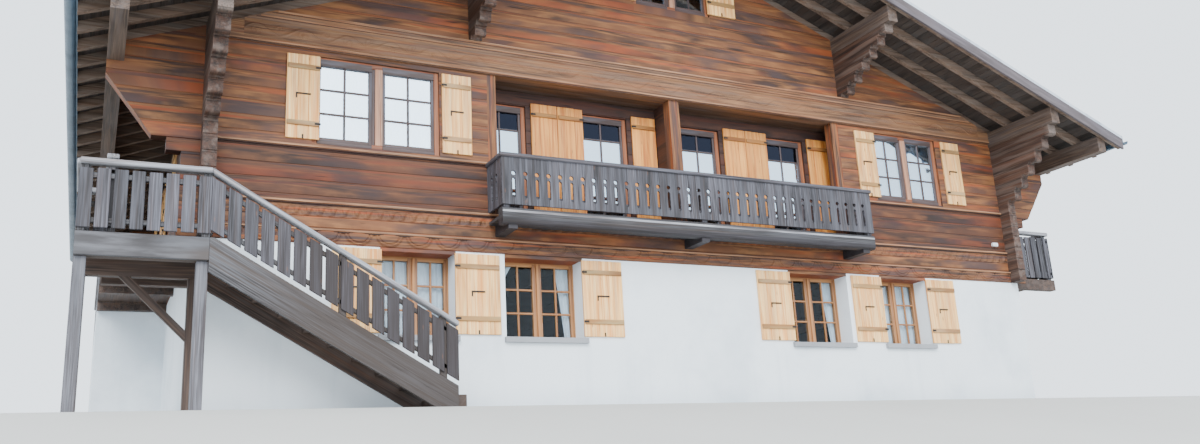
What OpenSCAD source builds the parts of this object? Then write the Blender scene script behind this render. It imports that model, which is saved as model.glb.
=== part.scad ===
/* [House] */
// Width of the house across its front, outside the walls
house_w = 14600; // [13800:100:15800]
// Depth of the house from front wall to back wall
house_d = 11000; // [10400:100:12500]
// Height of the plastered masonry storey
masonry_h = 2300; // [2200:50:2500]
// Thickness of the masonry walls
masonry_t = 400; // [300:10:500]
// Thickness of the squared log walls
log_t = 180; // [140:10:220]
// Height of one log course
log_h = 210; // [160:10:260]
// Depth of the joint between two logs
joint_depth = 10; // [4:1:20]
// Height of the joint between two logs
joint_h = 16; // [8:1:30]

/* [Floors] */
// Thickness of the ground floor slab
ground_floor_t = 200; // [120:10:300]
// Height of the first floor above the masonry
first_floor_rise = 450; // [400:10:600]
// Thickness of the first floor boards
floor_board_t = 120; // [60:10:200]
// Width of a first floor joist
joist_w = 180; // [120:10:220]
// Clear height of the first storey
first_storey_h = 2320; // [2260:10:2600]
// Thickness of the attic floor
attic_floor_t = 150; // [100:10:240]

/* [Roof] */
// Slope of the roof in degrees
roof_pitch = 21; // [18:0.5:26]
// How far the roof runs out past the side walls
eave_out = 1500; // [1300:10:1700]
// How far the roof runs out past the front and back walls
verge_out = 1650; // [1500:10:1900]
// Upright thickness of the rafters
rafter_h = 140; // [100:5:200]
// Width of the rafters
rafter_w = 90; // [60:5:140]
// Distance from rafter to rafter
rafter_step = 540; // [450:10:700]
// Upright thickness of the roof boards with their covering
roof_t = 90; // [60:5:140]
// Thickness of the verge boards
verge_board_t = 40; // [25:1:60]
// How far the verge boards hang below the rafters
verge_board_drop = 30; // [10:5:80]
// Outer width of the eave gutters
gutter_w = 150; // [110:5:200]
// Thickness of the gutter sheet
gutter_t = 12; // [8:1:20]

/* [Purlins] */
// Width of the purlins
purlin_w = 200; // [160:10:260]
// Height of the purlins at their lower edge
purlin_h = 220; // [180:10:240]
// Distance of the middle purlins from the ridge
mid_purlin_x = 3520; // [3100:20:3900]
// How far the purlins stop behind the verge boards
purlin_back = 90; // [50:5:200]
// Distance of the flying purlins outside the side walls
eave_purlin_out = 1060; // [950:10:1200]
// Height of one stepped log end under a purlin
console_log_h = 195; // [150:5:240]

/* [Walls] */
// Height of the carved belt beam
belt_h = 490; // [400:10:600]
// How far the belt beam stands out from the wall
belt_out = 35; // [15:5:60]
// How far the log ends stand out at the corners
log_end = 230; // [150:10:300]
// Bottom of the part of the wings that steps outwards, above the first floor
wing_rise = 490; // [400:10:700]

/* [Loggia and balcony] */
// Half width of the loggia between its end posts
loggia_half = 3200; // [3000:10:3400]
// How far the loggia runs on behind its end posts
loggia_room_out = 260; // [200:10:300]
// Depth of the loggia behind the front wall's face
loggia_depth = 500; // [400:10:900]
// Thickness of the loggia's inner walls
loggia_wall_t = 140; // [100:10:180]
// Width of the loggia's end posts
end_post_w = 140; // [100:10:200]
// Width of the loggia's middle post
mid_post_w = 190; // [140:10:240]
// Distance of the middle post from the middle of the house
mid_post_x = -70; // [-150:10:100]
// Height of the loggia's French windows
loggia_door_h = 2090; // [2000:10:2200]
// Width of the first French window of each bay
loggia_first_w = 850; // [800:5:900]
// Width of the second French window of each bay
loggia_second_w = 925; // [880:5:955]
// How far the balcony stands out
balcony_out = 570; // [450:10:800]
// Height of the balcony's edge beam
balcony_edge_h = 240; // [180:10:300]
// Height of the rail above the balcony floor
balcony_rail_h = 900; // [850:10:1100]
// Width of one pierced board
pierced_board_w = 182; // [150:2:210]

/* [Windows] */
// Height of the masonry over the ground floor windows
ground_head = 40; // [30:10:150]
// Height of the ground floor windows
ground_win_h = 1180; // [1000:10:1250]
// Width of the wider ground floor windows
ground_win_wide = 1240; // [1100:10:1300]
// Width of the narrower ground floor windows
ground_win_slim = 1080; // [1020:10:1150]
// Distance of the wider ground windows from the middle
ground_wide_x = 2520; // [2400:10:2600]
// Distance of the narrower ground windows from the middle
ground_slim_x = 4415; // [4400:5:4900]
// How much the masonry reveals narrow on each side
reveal_splay = 20; // [0:5:50]
// Depth of the window frames behind the masonry's face
reveal_depth = 280; // [150:10:300]
// Height of the upper sills above the first floor
first_sill_rise = 950; // [900:10:1000]
// Height of the upper windows
first_win_h = 1290; // [1000:10:1300]
// Width of the left upper window
first_win_left_w = 1810; // [1500:10:1900]
// Width of the right upper window
first_win_right_w = 1600; // [1500:10:1900]
// Distance of the left upper window from the middle
first_win_left_x = 4990; // [4900:10:5300]
// Distance of the right upper window from the middle
first_win_right_x = 4860; // [4800:10:5300]
// Width of the attic window
attic_win_w = 1500; // [1200:10:1600]
// Height of the attic window
attic_win_h = 800; // [600:10:900]
// Height of the attic sill above the attic floor
attic_sill_rise = 1500; // [1400:10:1550]
// Width of the upper windows' outer frames
frame_w = 70; // [50:5:100]
// Width of the upper windows' middle posts
window_post_w = 150; // [80:5:180]
// Width of the ground windows' outer frames
ground_frame_w = 20; // [10:5:60]
// Width of the ground windows' middle posts
ground_post_w = 55; // [40:5:90]
// Depth of the window frames
frame_t = 80; // [50:5:120]
// Width of the casement frames
casement_w = 45; // [35:5:70]
// Thickness of the glass
glass_t = 12; // [6:1:20]

/* [Shutters] */
// Thickness of a shutter's boards
shutter_t = 32; // [20:1:45]
// Thickness of a shutter's battens
batten_t = 22; // [15:1:35]
// Height of a shutter's battens
batten_h = 70; // [50:5:100]
// Width of the ground floor shutters
ground_shutter_w = 670; // [500:10:700]
// Width of the upper shutters
first_shutter_w = 450; // [350:10:470]
// Width of the attic shutters
attic_shutter_w = 570; // [450:10:700]

/* [Stair and landing] */
// Height of the landing's deck below the gallery decks
landing_drop = 400; // [200:10:500]
// Width of the landing
landing_w = 1390; // [1300:10:1500]
// How far the landing reaches in front of the house's corner
landing_lap = 50; // [10:5:100]
// Depth of the landing and of the stair in front of the wall
landing_out = 1200; // [1100:10:1400]
// Gap between the stair and the house wall
stair_wall_gap = 260; // [240:10:350]
// Height of the landing's edge beams
landing_beam_h = 270; // [200:10:320]
// Width of the landing's posts
landing_post_w = 130; // [100:5:180]
// Number of risers in the stair
riser_n = 11; // [10:1:12]
// Depth of one step
step_going = 310; // [280:5:340]
// Thickness of a tread
tread_t = 45; // [30:5:60]
// Upright height of the stair's side boards
stringer_h = 430; // [330:10:460]
// Thickness of the stair's side boards
stringer_t = 60; // [45:5:80]
// Height of the landing's rail above its deck
stair_rail_h = 830; // [800:5:1000]
// Width of a railing board on the landing and stair
rail_board_w = 145; // [110:5:170]
// Gap between two railing boards
rail_board_gap = 38; // [25:1:60]

/* [Galleries] */
// Height of the gallery decks above the masonry
gallery_rise = 100; // [70:5:200]
// Width of the side galleries
gallery_w = 1040; // [900:10:1200]
// Thickness of the gallery boards
gallery_board_t = 60; // [40:5:80]
// Height of the gallery rails above their deck
gallery_rail_h = 950; // [850:10:1100]
// Width of the square posts of all railings
rail_post_w = 90; // [70:5:120]
// Thickness of the walls of the store under the left gallery
store_wall_t = 200; // [150:10:260]
// Distance of the store's front from the house's front
store_back = 4940; // [4000:20:6000]

/* [Hidden] */
eps = 1;
seat = 0.3;
far = 40000;
timber = "saddlebrown";
old_timber = "dimgray";
pine = "burlywood";

// Heights
first_floor_z = masonry_h + first_floor_rise;
belt_z = first_floor_z + first_storey_h;
plate_z = belt_z + attic_floor_t;
gable_z = belt_z + belt_h;
ground_sill_z = masonry_h - ground_head - ground_win_h;
first_sill_z = first_floor_z + first_sill_rise;
attic_sill_z = plate_z + attic_sill_rise;
gallery_z = masonry_h + gallery_rise;
landing_z = gallery_z - landing_drop;

// Plan
half_w = house_w / 2;
half_d = house_d / 2;
roof_half = half_w + eave_out;
roof_end = half_d + verge_out;
eave_purlin_x = half_w + eave_purlin_out;
loggia_back_y = -half_d + loggia_depth;

// Height of the rafters' underside at a distance x from the ridge
function soffit_z(x) = plate_z + (half_w - abs(x)) * tan(roof_pitch);

// An upright profile drawn in x and z, running from y0 to y1
module across(y0, y1) {
    translate([0, y1, 0])
        rotate([90, 0, 0])
            linear_extrude(y1 - y0)
                children();
}

// An upright profile drawn in y and z, running from x0 to x1
module along(x0, x1) {
    translate([x0, 0, 0])
        rotate([90, 0, 90])
            linear_extrude(x1 - x0)
                children();
}

// A box given by its two corners
module block(low, high) {
    translate(low)
        cube(high - low);
}

// Both sides of what is drawn on the left
module both_sides() {
    children();
    mirror([1, 0, 0])
        children();
}

// Front and back of what is drawn at the front
module both_ends() {
    children();
    mirror([0, 1, 0])
        children();
}

// Local frame of a wall: x along it, y inwards from its outer face, z up
module at_front() {
    translate([0, -half_d, 0])
        children();
}

module at_back() {
    rotate([0, 0, 180])
        translate([0, -half_d, 0])
            children();
}

module at_left() {
    rotate([0, 0, -90])
        translate([0, -half_w, 0])
            children();
}

module at_right() {
    rotate([0, 0, 90])
        translate([0, -half_w, 0])
            children();
}

// Windows as [middle, sill height, width, height] in each wall's own frame
ground_row_wins = [
    for (s = [-1, 1]) [s * ground_wide_x, ground_sill_z, ground_win_wide, ground_win_h],
    for (s = [-1, 1]) [s * ground_slim_x, ground_sill_z, ground_win_slim, ground_win_h]
];
ground_right_wins = [
    for (s = [-1, 1]) [s * house_d / 4, ground_sill_z, ground_win_slim, ground_win_h]
];
front_left_wins = [[-first_win_left_x, first_sill_z, first_win_left_w, first_win_h]];
front_right_wins = [[first_win_right_x, first_sill_z, first_win_right_w, first_win_h]];
back_wins = [
    for (s = [-1, 1]) [s * first_win_left_x, first_sill_z, first_win_left_w, first_win_h],
    for (s = [-1, 1]) [s * first_win_left_x / 3, first_sill_z, first_win_left_w, first_win_h]
];
side_win_x = house_d / 4;
left_wins = [
    [-side_win_x, first_sill_z, first_win_right_w, first_win_h],
    [0, first_sill_z, first_win_right_w, first_win_h]
];
right_wins = [
    [side_win_x, first_sill_z, first_win_right_w, first_win_h],
    [0, first_sill_z, first_win_right_w, first_win_h]
];
attic_shift = 45;
attic_front_wins = [[attic_shift, attic_sill_z, attic_win_w, attic_win_h]];
attic_back_wins = [[0, attic_sill_z, attic_win_w, attic_win_h]];

// Doors as [middle, threshold height, width, height]
door_w = 950;
door_h = 2000;
side_door_shift = 600;
side_door_x = side_win_x + side_door_shift;
store_door_w = 900;
store_door_h = 1900;
back_door_at = [0, ground_floor_t, door_w, door_h];
left_door_at = [side_door_x, first_floor_z, door_w, door_h];
right_door_at = [-side_door_x, first_floor_z, door_w, door_h];
store_door_at = [-house_d / 4, 0, store_door_w, store_door_h];

// The loggia's bays: a French window, a pair of shutters, a second French window and one shutter
loggia_room_half = loggia_half + loggia_room_out;
mid_post_left = mid_post_x - mid_post_w / 2;
bay_start = [-loggia_room_half, mid_post_left + loggia_wall_t];
bay_end = [mid_post_left, loggia_room_half];
bay_lead = [95, 280];
bay_clear = 85;
bay_lap = 110;
bay_rest = 10;
shutter_gap = 5;

function bay_leaf(k) = (bay_end[k] - bay_start[k] - bay_lead[k] - loggia_first_w - loggia_second_w
    - 2 * bay_clear + bay_lap - shutter_gap - bay_rest) / 3;

function pair_start(k) = bay_start[k] + bay_lead[k] + loggia_first_w + bay_clear;

function second_start(k) = pair_start(k) + 2 * bay_leaf(k) + shutter_gap - bay_lap;

loggia_doors = [
    for (k = [0, 1])
        [bay_start[k] + bay_lead[k] + loggia_first_w / 2, first_floor_z, loggia_first_w, loggia_door_h],
    for (k = [0, 1])
        [second_start(k) + loggia_second_w / 2, first_floor_z, loggia_second_w, loggia_door_h]
];

// The straight hole of one window or door through a wall of thickness t
module hole(w, t) {
    translate([w[0] - w[2] / 2, -eps, w[1]])
        cube([w[2], t + 2 * eps, w[3]]);
}

// A hole whose sides narrow inwards, as in thick masonry
module splayed_hole(w) {
    translate([w[0], 0, w[1]])
        linear_extrude(w[3])
            polygon([
                [-w[2] / 2 - reveal_splay / reveal_depth * eps, -eps],
                [w[2] / 2 + reveal_splay / reveal_depth * eps, -eps],
                [w[2] / 2 - reveal_splay, reveal_depth],
                [w[2] / 2 - reveal_splay, masonry_t + eps],
                [-w[2] / 2 + reveal_splay, masonry_t + eps],
                [-w[2] / 2 + reveal_splay, reveal_depth]
            ]);
}

// Profile of a log wall in y and z, with a joint between the courses on its outer face
module log_profile(z0, z1, t) {
    n = max(1, round((z1 - z0) / log_h));
    step = (z1 - z0) / n;
    difference() {
        translate([0, z0])
            square([t, z1 - z0]);
        for (k = [1 : 1 : n - 1])
            polygon([
                [-eps, z0 + k * step - joint_h / 2],
                [joint_depth, z0 + k * step],
                [-eps, z0 + k * step + joint_h / 2]
            ]);
    }
}

// A log wall in its own frame from x0 to x1 and z0 to z1
module log_wall(x0, x1, z0, z1, t) {
    along(x0, x1)
        log_profile(z0, z1, t);
}

// The room under the rafters, to trim what runs up to them
module under_rafters() {
    translate([0, 0, -seat])
        across(-far, far)
            polygon([
                [-far, 0],
                [-far, soffit_z(far)],
                [0, soffit_z(0)],
                [far, soffit_z(far)],
                [far, 0]
            ]);
}

// Section of a purlin whose middle stands x from the ridge, with a top that follows the roof
module purlin_section(x) {
    low = min(soffit_z(x - purlin_w / 2), soffit_z(x + purlin_w / 2));
    polygon([
        [x - purlin_w / 2, low - purlin_h],
        [x + purlin_w / 2, low - purlin_h],
        [x + purlin_w / 2, soffit_z(x + purlin_w / 2)],
        [x, soffit_z(x)],
        [x - purlin_w / 2, soffit_z(x - purlin_w / 2)]
    ]);
}

function purlin_low(x) = soffit_z(abs(x) + purlin_w / 2) - purlin_h;

purlin_end = roof_end - verge_board_t - purlin_back;
purlin_xs = [
    -eave_purlin_x, -half_w + purlin_w / 2, -mid_purlin_x, 0,
    mid_purlin_x, half_w - purlin_w / 2, eave_purlin_x
];

module purlin_holes() {
    for (x = purlin_xs)
        across(-far, far)
            purlin_section(x);
}

module ground_front_wall() {
    color("white")
        at_front()
            difference() {
                block([-half_w, 0, 0], [half_w, masonry_t, masonry_h]);
                for (w = ground_row_wins)
                    splayed_hole(w);
            }
}

module ground_back_wall() {
    color("white")
        at_back()
            difference() {
                block([-half_w, 0, 0], [half_w, masonry_t, masonry_h]);
                for (w = ground_row_wins)
                    splayed_hole(w);
                hole(back_door_at, masonry_t);
            }
}

module ground_side(wins) {
    difference() {
        block([-half_d + masonry_t, 0, 0], [half_d - masonry_t, masonry_t, masonry_h]);
        for (w = wins)
            splayed_hole(w);
    }
}

module ground_left_wall() {
    color("white")
        at_left()
            ground_side([]);
}

module ground_right_wall() {
    color("white")
        at_right()
            ground_side(ground_right_wins);
}

store_top = gallery_z - gallery_board_t;
store_front_y = -half_d + store_back;

module store_walls() {
    color("white")
        difference() {
            block([-gallery_out, store_front_y, 0], [-half_w, half_d, store_top]);
            block([-gallery_out + store_wall_t, store_front_y + store_wall_t, -eps],
                  [-half_w + eps, half_d - store_wall_t, store_top + eps]);
            at_left()
                translate([0, -gallery_w, 0])
                    hole(store_door_at, store_wall_t);
        }
}

module ground_floor() {
    color("gray")
        block([-half_w + masonry_t, -half_d + masonry_t, 0],
              [half_w - masonry_t, half_d - masonry_t, ground_floor_t]);
}

joist_step = 1800;

module first_floor() {
    inner_w = half_w - log_t;
    inner_d = half_d - log_t;
    count = floor((inner_w - joist_w) / joist_step);
    color("peru") {
        block([-inner_w, -inner_d, first_floor_z - floor_board_t], [inner_w, inner_d, first_floor_z]);
        for (k = [-count : count])
            block([k * joist_step - joist_w / 2, -inner_d, masonry_h],
                  [k * joist_step + joist_w / 2, inner_d, first_floor_z - floor_board_t]);
    }
}

module attic_floor() {
    inner_w = half_w - log_t;
    inner_d = half_d - log_t;
    color("peru")
        difference() {
            block([-inner_w, -inner_d, belt_z], [inner_w, inner_d, plate_z]);
            purlin_holes();
        }
}

module front_sill_logs() {
    color(timber)
        at_front()
            log_wall(-half_w, half_w, masonry_h, first_floor_z, log_t);
}

module front_left_wall() {
    color(timber)
        at_front()
            difference() {
                log_wall(-half_w, -loggia_half - end_post_w, first_floor_z, belt_z, log_t);
                for (w = front_left_wins)
                    hole(w, log_t);
            }
}

module front_right_wall() {
    color(timber)
        at_front()
            difference() {
                log_wall(loggia_half + end_post_w, half_w, first_floor_z, belt_z, log_t);
                for (w = front_right_wins)
                    hole(w, log_t);
            }
}

module loggia_back_wall() {
    color(timber)
        at_front()
            translate([0, loggia_depth, 0])
                difference() {
                    log_wall(-loggia_room_half, loggia_room_half, first_floor_z, belt_z, loggia_wall_t);
                    for (w = loggia_doors)
                        hole(w, loggia_wall_t);
                }
}

// The loggia's side walls, and the wall behind its middle post
module loggia_side_walls() {
    color(timber) {
        both_sides()
            block([-loggia_room_half - log_t, -half_d + log_t, first_floor_z],
                  [-loggia_room_half, loggia_back_y + loggia_wall_t, belt_z]);
        block([bay_end[0], -half_d + log_t, first_floor_z], [bay_start[1], loggia_back_y, belt_z]);
    }
}

// The belt beam stands out from the wall, and two mouldings at its top stand out further
belt_lip_h = 55;
belt_lip_slant = 25;

module belt_profile() {
    polygon([
        [log_t, belt_z],
        [-belt_out, belt_z],
        [-belt_out, gable_z - 2 * belt_lip_h - 2 * belt_lip_slant],
        [-1.5 * belt_out, gable_z - 2 * belt_lip_h - belt_lip_slant],
        [-1.5 * belt_out, gable_z - belt_lip_h - belt_lip_slant],
        [-2 * belt_out, gable_z - belt_lip_h],
        [-2 * belt_out, gable_z],
        [log_t, gable_z]
    ]);
}

// The belt beam's ends follow the slope of the rafters
module front_belt_beam() {
    inner = half_w - log_t;
    color(timber)
        intersection() {
            difference() {
                at_front()
                    union() {
                        along(-half_w, half_w)
                            intersection() {
                                belt_profile();
                                translate([0, belt_z])
                                    square([log_t, belt_h]);
                            }
                        along(-inner, inner)
                            belt_profile();
                    }
                purlin_holes();
            }
            under_rafters();
        }
}

module gable(wins) {
    color(timber)
        intersection() {
            difference() {
                log_wall(-half_w, half_w, gable_z, soffit_z(0), log_t);
                for (w = wins)
                    hole(w, log_t);
                translate([0, half_d, 0])
                    purlin_holes();
            }
            translate([0, half_d, 0])
                under_rafters();
        }
}

module front_gable_wall() {
    at_front()
        gable(attic_front_wins);
}

module back_gable_wall() {
    at_back()
        gable(attic_back_wins);
}

module back_wall() {
    color(timber)
        intersection() {
            difference() {
                at_back()
                    difference() {
                        log_wall(-half_w, half_w, masonry_h, gable_z, log_t);
                        for (w = back_wins)
                            hole(w, log_t);
                    }
                purlin_holes();
            }
            under_rafters();
        }
}

module side_wall(wins, door) {
    difference() {
        log_wall(-half_d + log_t, half_d - log_t, masonry_h, soffit_z(half_w) - purlin_h, log_t);
        for (w = wins)
            hole(w, log_t);
        hole(door, log_t);
    }
}

module left_wall() {
    color(timber)
        at_left()
            side_wall(left_wins, left_door_at);
}

module right_wall() {
    color(timber)
        at_right()
            side_wall(right_wins, right_door_at);
}

// A wing: the front logs run on past the corner, step outwards and carry the flying purlin
wing_z = first_floor_z + wing_rise;
wing_step = 180;
wing_hook = 60;

module wing_outline() {
    tip_x = -eave_purlin_x - purlin_w / 2;
    tip_z = purlin_low(eave_purlin_x);
    foot_x = -half_w - log_end;
    difference() {
        polygon([
            [-half_w, masonry_h],
            [foot_x, masonry_h],
            [foot_x, wing_z + wing_step],
            [foot_x - wing_step, wing_z + wing_step],
            [foot_x - wing_step, wing_z + 2 * wing_step],
            [foot_x - 2 * wing_step, wing_z + 2 * wing_step],
            [tip_x, tip_z - wing_step],
            [tip_x, tip_z],
            [tip_x, soffit_z(tip_x)],
            [-half_w, soffit_z(half_w)]
        ]);
        translate([foot_x - 1.5 * wing_step, wing_z + 2 * wing_step])
            circle(wing_hook, $fn = 24);
    }
}

module wing() {
    difference() {
        across(-half_d, -half_d + log_t)
            wing_outline();
        purlin_holes();
    }
}

module wings() {
    color(timber)
        both_ends()
            both_sides()
                wing();
}

// What is cut from the lower edge of one log end: the corner of a round nose, and a cove behind it
module log_carving(out, z0, h, room) {
    nose = round(nose_share * min(h, room));
    cove = round(min(room - 2 * nose, h) * cove_share);
    difference() {
        translate([-out - eps, z0 - eps])
            square(nose + eps);
        translate([-out + nose, z0 + nose])
            circle(nose, $fn = 24);
    }
    translate([-out + 2 * nose + cove, z0])
        circle(cove, $fn = 24);
}

// Stepped log ends under a purlin, each one reaching further out than the one below
module stepped_ends(z_top, z_foot, reach, foot_reach, n) {
    step_z = floor((z_top - z_foot) / n);
    step_y = floor((reach - foot_reach) / n);
    difference() {
        polygon([
            [0, z_foot],
            for (k = [0 : n - 1])
                for (z = [z_foot + k * step_z, k < n - 1 ? z_foot + (k + 1) * step_z : z_top])
                    [-foot_reach - (k + 1) * step_y, z],
            [0, z_top]
        ]);
        for (k = [0 : n - 1])
            log_carving(foot_reach + (k + 1) * step_y, z_foot + k * step_z, step_z, step_y);
    }
}

nose_share = 0.26;
cove_share = 0.4;
console_n = 6;
mid_console_n = 6;
console_back = 120;
console_reach = purlin_end - half_d - console_back;
console_foot = 60;
ridge_console_reach = 500;
ridge_console_n = 2;

module corner_consoles() {
    top = purlin_low(half_w - purlin_w / 2);
    foot = top - console_n * console_log_h;
    color(timber)
        both_ends()
            both_sides()
                translate([-half_w, 0, 0])
                    along(0, log_t)
                        translate([-half_d, 0]) {
                            stepped_ends(top, foot, console_reach, log_end, console_n);
                            translate([-log_end, 0])
                                log_profile(masonry_h, foot + eps, log_end);
                        }
}

module purlin_consoles() {
    mid_top = purlin_low(mid_purlin_x);
    ridge_top = purlin_low(0);
    ridge_foot = ridge_top - ridge_console_n * console_log_h;
    color(timber)
        both_ends() {
            both_sides()
                translate([-mid_purlin_x - log_t / 2, 0, 0])
                    along(0, log_t)
                        translate([-half_d, 0])
                            stepped_ends(mid_top, gable_z, console_reach, console_foot, mid_console_n);
            translate([-log_t / 2, 0, 0])
                along(0, log_t)
                    translate([-half_d, 0])
                        stepped_ends(ridge_top, ridge_foot, ridge_console_reach, console_foot,
                                     ridge_console_n);
        }
}

module purlins() {
    color(timber)
        for (x = purlin_xs)
            across(-purlin_end, purlin_end)
                purlin_section(x);
}

// A strip that follows one slope of the roof between two upright offsets from the rafters' underside
module slope_strip(x0, x1, lift0, lift1) {
    polygon([
        [x0, soffit_z(x0) + lift0],
        [x1, soffit_z(x1) + lift0],
        [x1, soffit_z(x1) + lift1],
        [x0, soffit_z(x0) + lift1]
    ]);
}

rafter_span = 2 * (roof_end - verge_board_t) - rafter_w;
rafter_n = round(rafter_span / rafter_step);

// The rafters of one slope, which meet those of the other slope at the ridge
module half_rafters() {
    gap = rafter_span / rafter_n;
    for (k = [0 : rafter_n]) {
        y = -rafter_span / 2 + k * gap;
        across(y - rafter_w / 2, y + rafter_w / 2)
            slope_strip(-roof_half, 0, 0, rafter_h);
    }
}

module left_rafters() {
    color("peru")
        half_rafters();
}

module right_rafters() {
    color("peru")
        mirror([1, 0, 0])
            half_rafters();
}

module half_roof() {
    across(-roof_end + verge_board_t, roof_end - verge_board_t)
        slope_strip(-roof_half, 0, rafter_h, rafter_h + roof_t);
}

module left_roof() {
    color("slategray")
        half_roof();
}

module right_roof() {
    color("slategray")
        mirror([1, 0, 0])
            half_roof();
}

module verge_boards() {
    color("dimgray")
        both_ends()
            both_sides()
                across(-roof_end, -roof_end + verge_board_t)
                    slope_strip(-roof_half, 0, -verge_board_drop, rafter_h + roof_t);
}

// Half round gutters under the eaves
module gutters() {
    r = gutter_w / 2;
    top = soffit_z(roof_half) + rafter_h;
    color("steelblue")
        both_sides()
            across(-roof_end, roof_end)
                translate([-roof_half - r, top])
                    difference() {
                        union() {
                            intersection() {
                                circle(r, $fn = 32);
                                translate([-r, -r])
                                    square([2 * r, r]);
                            }
                            translate([r - gutter_t, -r])
                                square([gutter_t, r + roof_t]);
                        }
                        circle(r - gutter_t, $fn = 32);
                    }
}

module loggia_posts() {
    color(timber)
        at_front() {
            both_sides()
                block([-loggia_half - end_post_w, 0, first_floor_z], [-loggia_half, log_t, belt_z]);
            block([mid_post_left, 0, first_floor_z], [mid_post_left + mid_post_w, log_t, belt_z]);
        }
}

balcony_lap = 30;
balcony_half = loggia_half + end_post_w + balcony_lap;
balcony_y = -half_d - balcony_out;
balcony_board_t = 40;
balcony_beam_w = 140;
balcony_beam_h = 160;
edge_round = 45;
edge_lip = 100;
balcony_board_foot = 140;
rail_t = 30;
handrail_t = 60;
handrail_lap = 30;
handrail_back = 80;
foot_rail_t = 50;
foot_rail_h = 70;
foot_rail_lift = 80;

// Edge beam of the balcony in y and z, with its front corners rounded
module balcony_edge_section() {
    top = first_floor_z + edge_lip;
    low = top - balcony_edge_h;
    translate([balcony_y + edge_round, low])
        square([balcony_edge_h / 2, balcony_edge_h]);
    translate([balcony_y, low + edge_round])
        square([edge_round, balcony_edge_h - 2 * edge_round]);
    for (z = [low + edge_round, top - edge_round])
        translate([balcony_y + edge_round, z])
            circle(edge_round, $fn = 24);
}

module balcony_deck() {
    under = first_floor_z - balcony_board_t;
    color("dimgray") {
        block([-balcony_half, balcony_y + edge_round, under], [balcony_half, -half_d, first_floor_z]);
        along(-balcony_half, balcony_half)
            balcony_edge_section();
        for (x = [-loggia_half, 0, loggia_half])
            block([x - balcony_beam_w / 2, balcony_y + edge_round, under - balcony_beam_h],
                  [x + balcony_beam_w / 2, -half_d, under]);
    }
}

// Pierced boards: a round hole and a slot at each joint
pierced_hole_r = 30;
pierced_hole_drop = 235;
pierced_slot_w = 45;
pierced_slot_foot = 115;
pierced_slot_h = 260;

module pierced_panel(length, h) {
    n = max(1, round(length / pierced_board_w));
    step = length / n;
    difference() {
        cube([length, rail_t, h]);
        for (k = [1 : 1 : n - 1]) {
            translate([k * step, -eps, h - pierced_hole_drop])
                rotate([-90, 0, 0])
                    cylinder(h = rail_t + 2 * eps, r = pierced_hole_r, $fn = 8);
            translate([k * step - pierced_slot_w / 2, -eps, pierced_slot_foot])
                cube([pierced_slot_w, rail_t + 2 * eps, pierced_slot_h]);
        }
    }
}

// A post of the balcony railing, from the edge beam up to the handrail
module balcony_post(x) {
    block([x, balcony_y + rail_t, first_floor_z + edge_lip],
          [x + rail_post_w, balcony_y + rail_t + rail_post_w,
           first_floor_z + balcony_rail_h - handrail_t]);
}

module balcony_railing() {
    base = first_floor_z + balcony_board_foot;
    top = first_floor_z + balcony_rail_h;
    h = top - handrail_t - base;
    inner_x = -balcony_half + rail_t;
    inner_y = balcony_y + rail_t;
    color("dimgray") {
        translate([-balcony_half, balcony_y, base])
            pierced_panel(2 * balcony_half, h);
        block([inner_x, inner_y, base + foot_rail_lift],
              [-inner_x, inner_y + foot_rail_t, base + foot_rail_lift + foot_rail_h]);
        block([-balcony_half - handrail_lap, balcony_y - handrail_lap, top - handrail_t],
              [balcony_half + handrail_lap, inner_y + handrail_back, top]);
        balcony_post(-rail_post_w / 2);
        both_sides() {
            translate([inner_x, inner_y, base])
                rotate([0, 0, 90])
                    pierced_panel(balcony_out - rail_t, h);
            balcony_post(inner_x);
            block([-balcony_half - handrail_lap, balcony_y, top - handrail_t],
                  [inner_x + handrail_back, -half_d, top]);
        }
    }
}

two_lights_from = 960;

// The lights of one window from y on, t thick, inside an outer frame, a middle post and casement frames
module lights(w, edge, post, y, t) {
    n = w[2] > two_lights_from ? 2 : 1;
    light = (w[2] - 2 * edge - (n - 1) * post) / n;
    translate([w[0] - w[2] / 2, y, w[1]])
        for (k = [0 : n - 1])
            translate([edge + k * (light + post) + casement_w, 0, edge + casement_w])
                cube([light - 2 * casement_w, t, w[3] - 2 * edge - 2 * casement_w]);
}

module window_frame(w, edge, post, depth) {
    difference() {
        translate([w[0] - w[2] / 2, depth, w[1]])
            cube([w[2], frame_t, w[3]]);
        lights(w, edge, post, depth - eps, frame_t + 2 * eps);
    }
}

module window_glass(w, edge, post, depth) {
    lights(w, edge, post, depth + frame_t / 2 - glass_t / 2, glass_t);
}

// The width of a window at its frame, behind the splayed reveals
function at_frame(w) = [w[0], w[1], w[2] - 2 * reveal_splay, w[3]];

sill_t = 60;
sill_out = 60;
sill_rise = 15;

// A stone sill: the part in front of the wall and the part between the reveals
module stone_sill(w) {
    block([w[0] - w[2] / 2 - sill_out / 2, -sill_out, w[1] - sill_t],
          [w[0] + w[2] / 2 + sill_out / 2, 0, w[1] + sill_rise]);
    translate([w[0], 0, w[1]])
        linear_extrude(sill_rise)
            polygon([
                [-w[2] / 2, 0],
                [w[2] / 2, 0],
                [w[2] / 2 - reveal_splay, reveal_depth],
                [-w[2] / 2 + reveal_splay, reveal_depth]
            ]);
}

module ground_windows() {
    color(pine) {
        at_front()
            for (w = ground_row_wins)
                window_frame(at_frame(w), ground_frame_w, ground_post_w, reveal_depth);
        at_back()
            for (w = ground_row_wins)
                window_frame(at_frame(w), ground_frame_w, ground_post_w, reveal_depth);
        at_right()
            for (w = ground_right_wins)
                window_frame(at_frame(w), ground_frame_w, ground_post_w, reveal_depth);
    }
}

module ground_sills() {
    color("silver") {
        at_front()
            for (w = ground_row_wins)
                stone_sill(w);
        at_back()
            for (w = ground_row_wins)
                stone_sill(w);
        at_right()
            for (w = ground_right_wins)
                stone_sill(w);
    }
}

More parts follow.
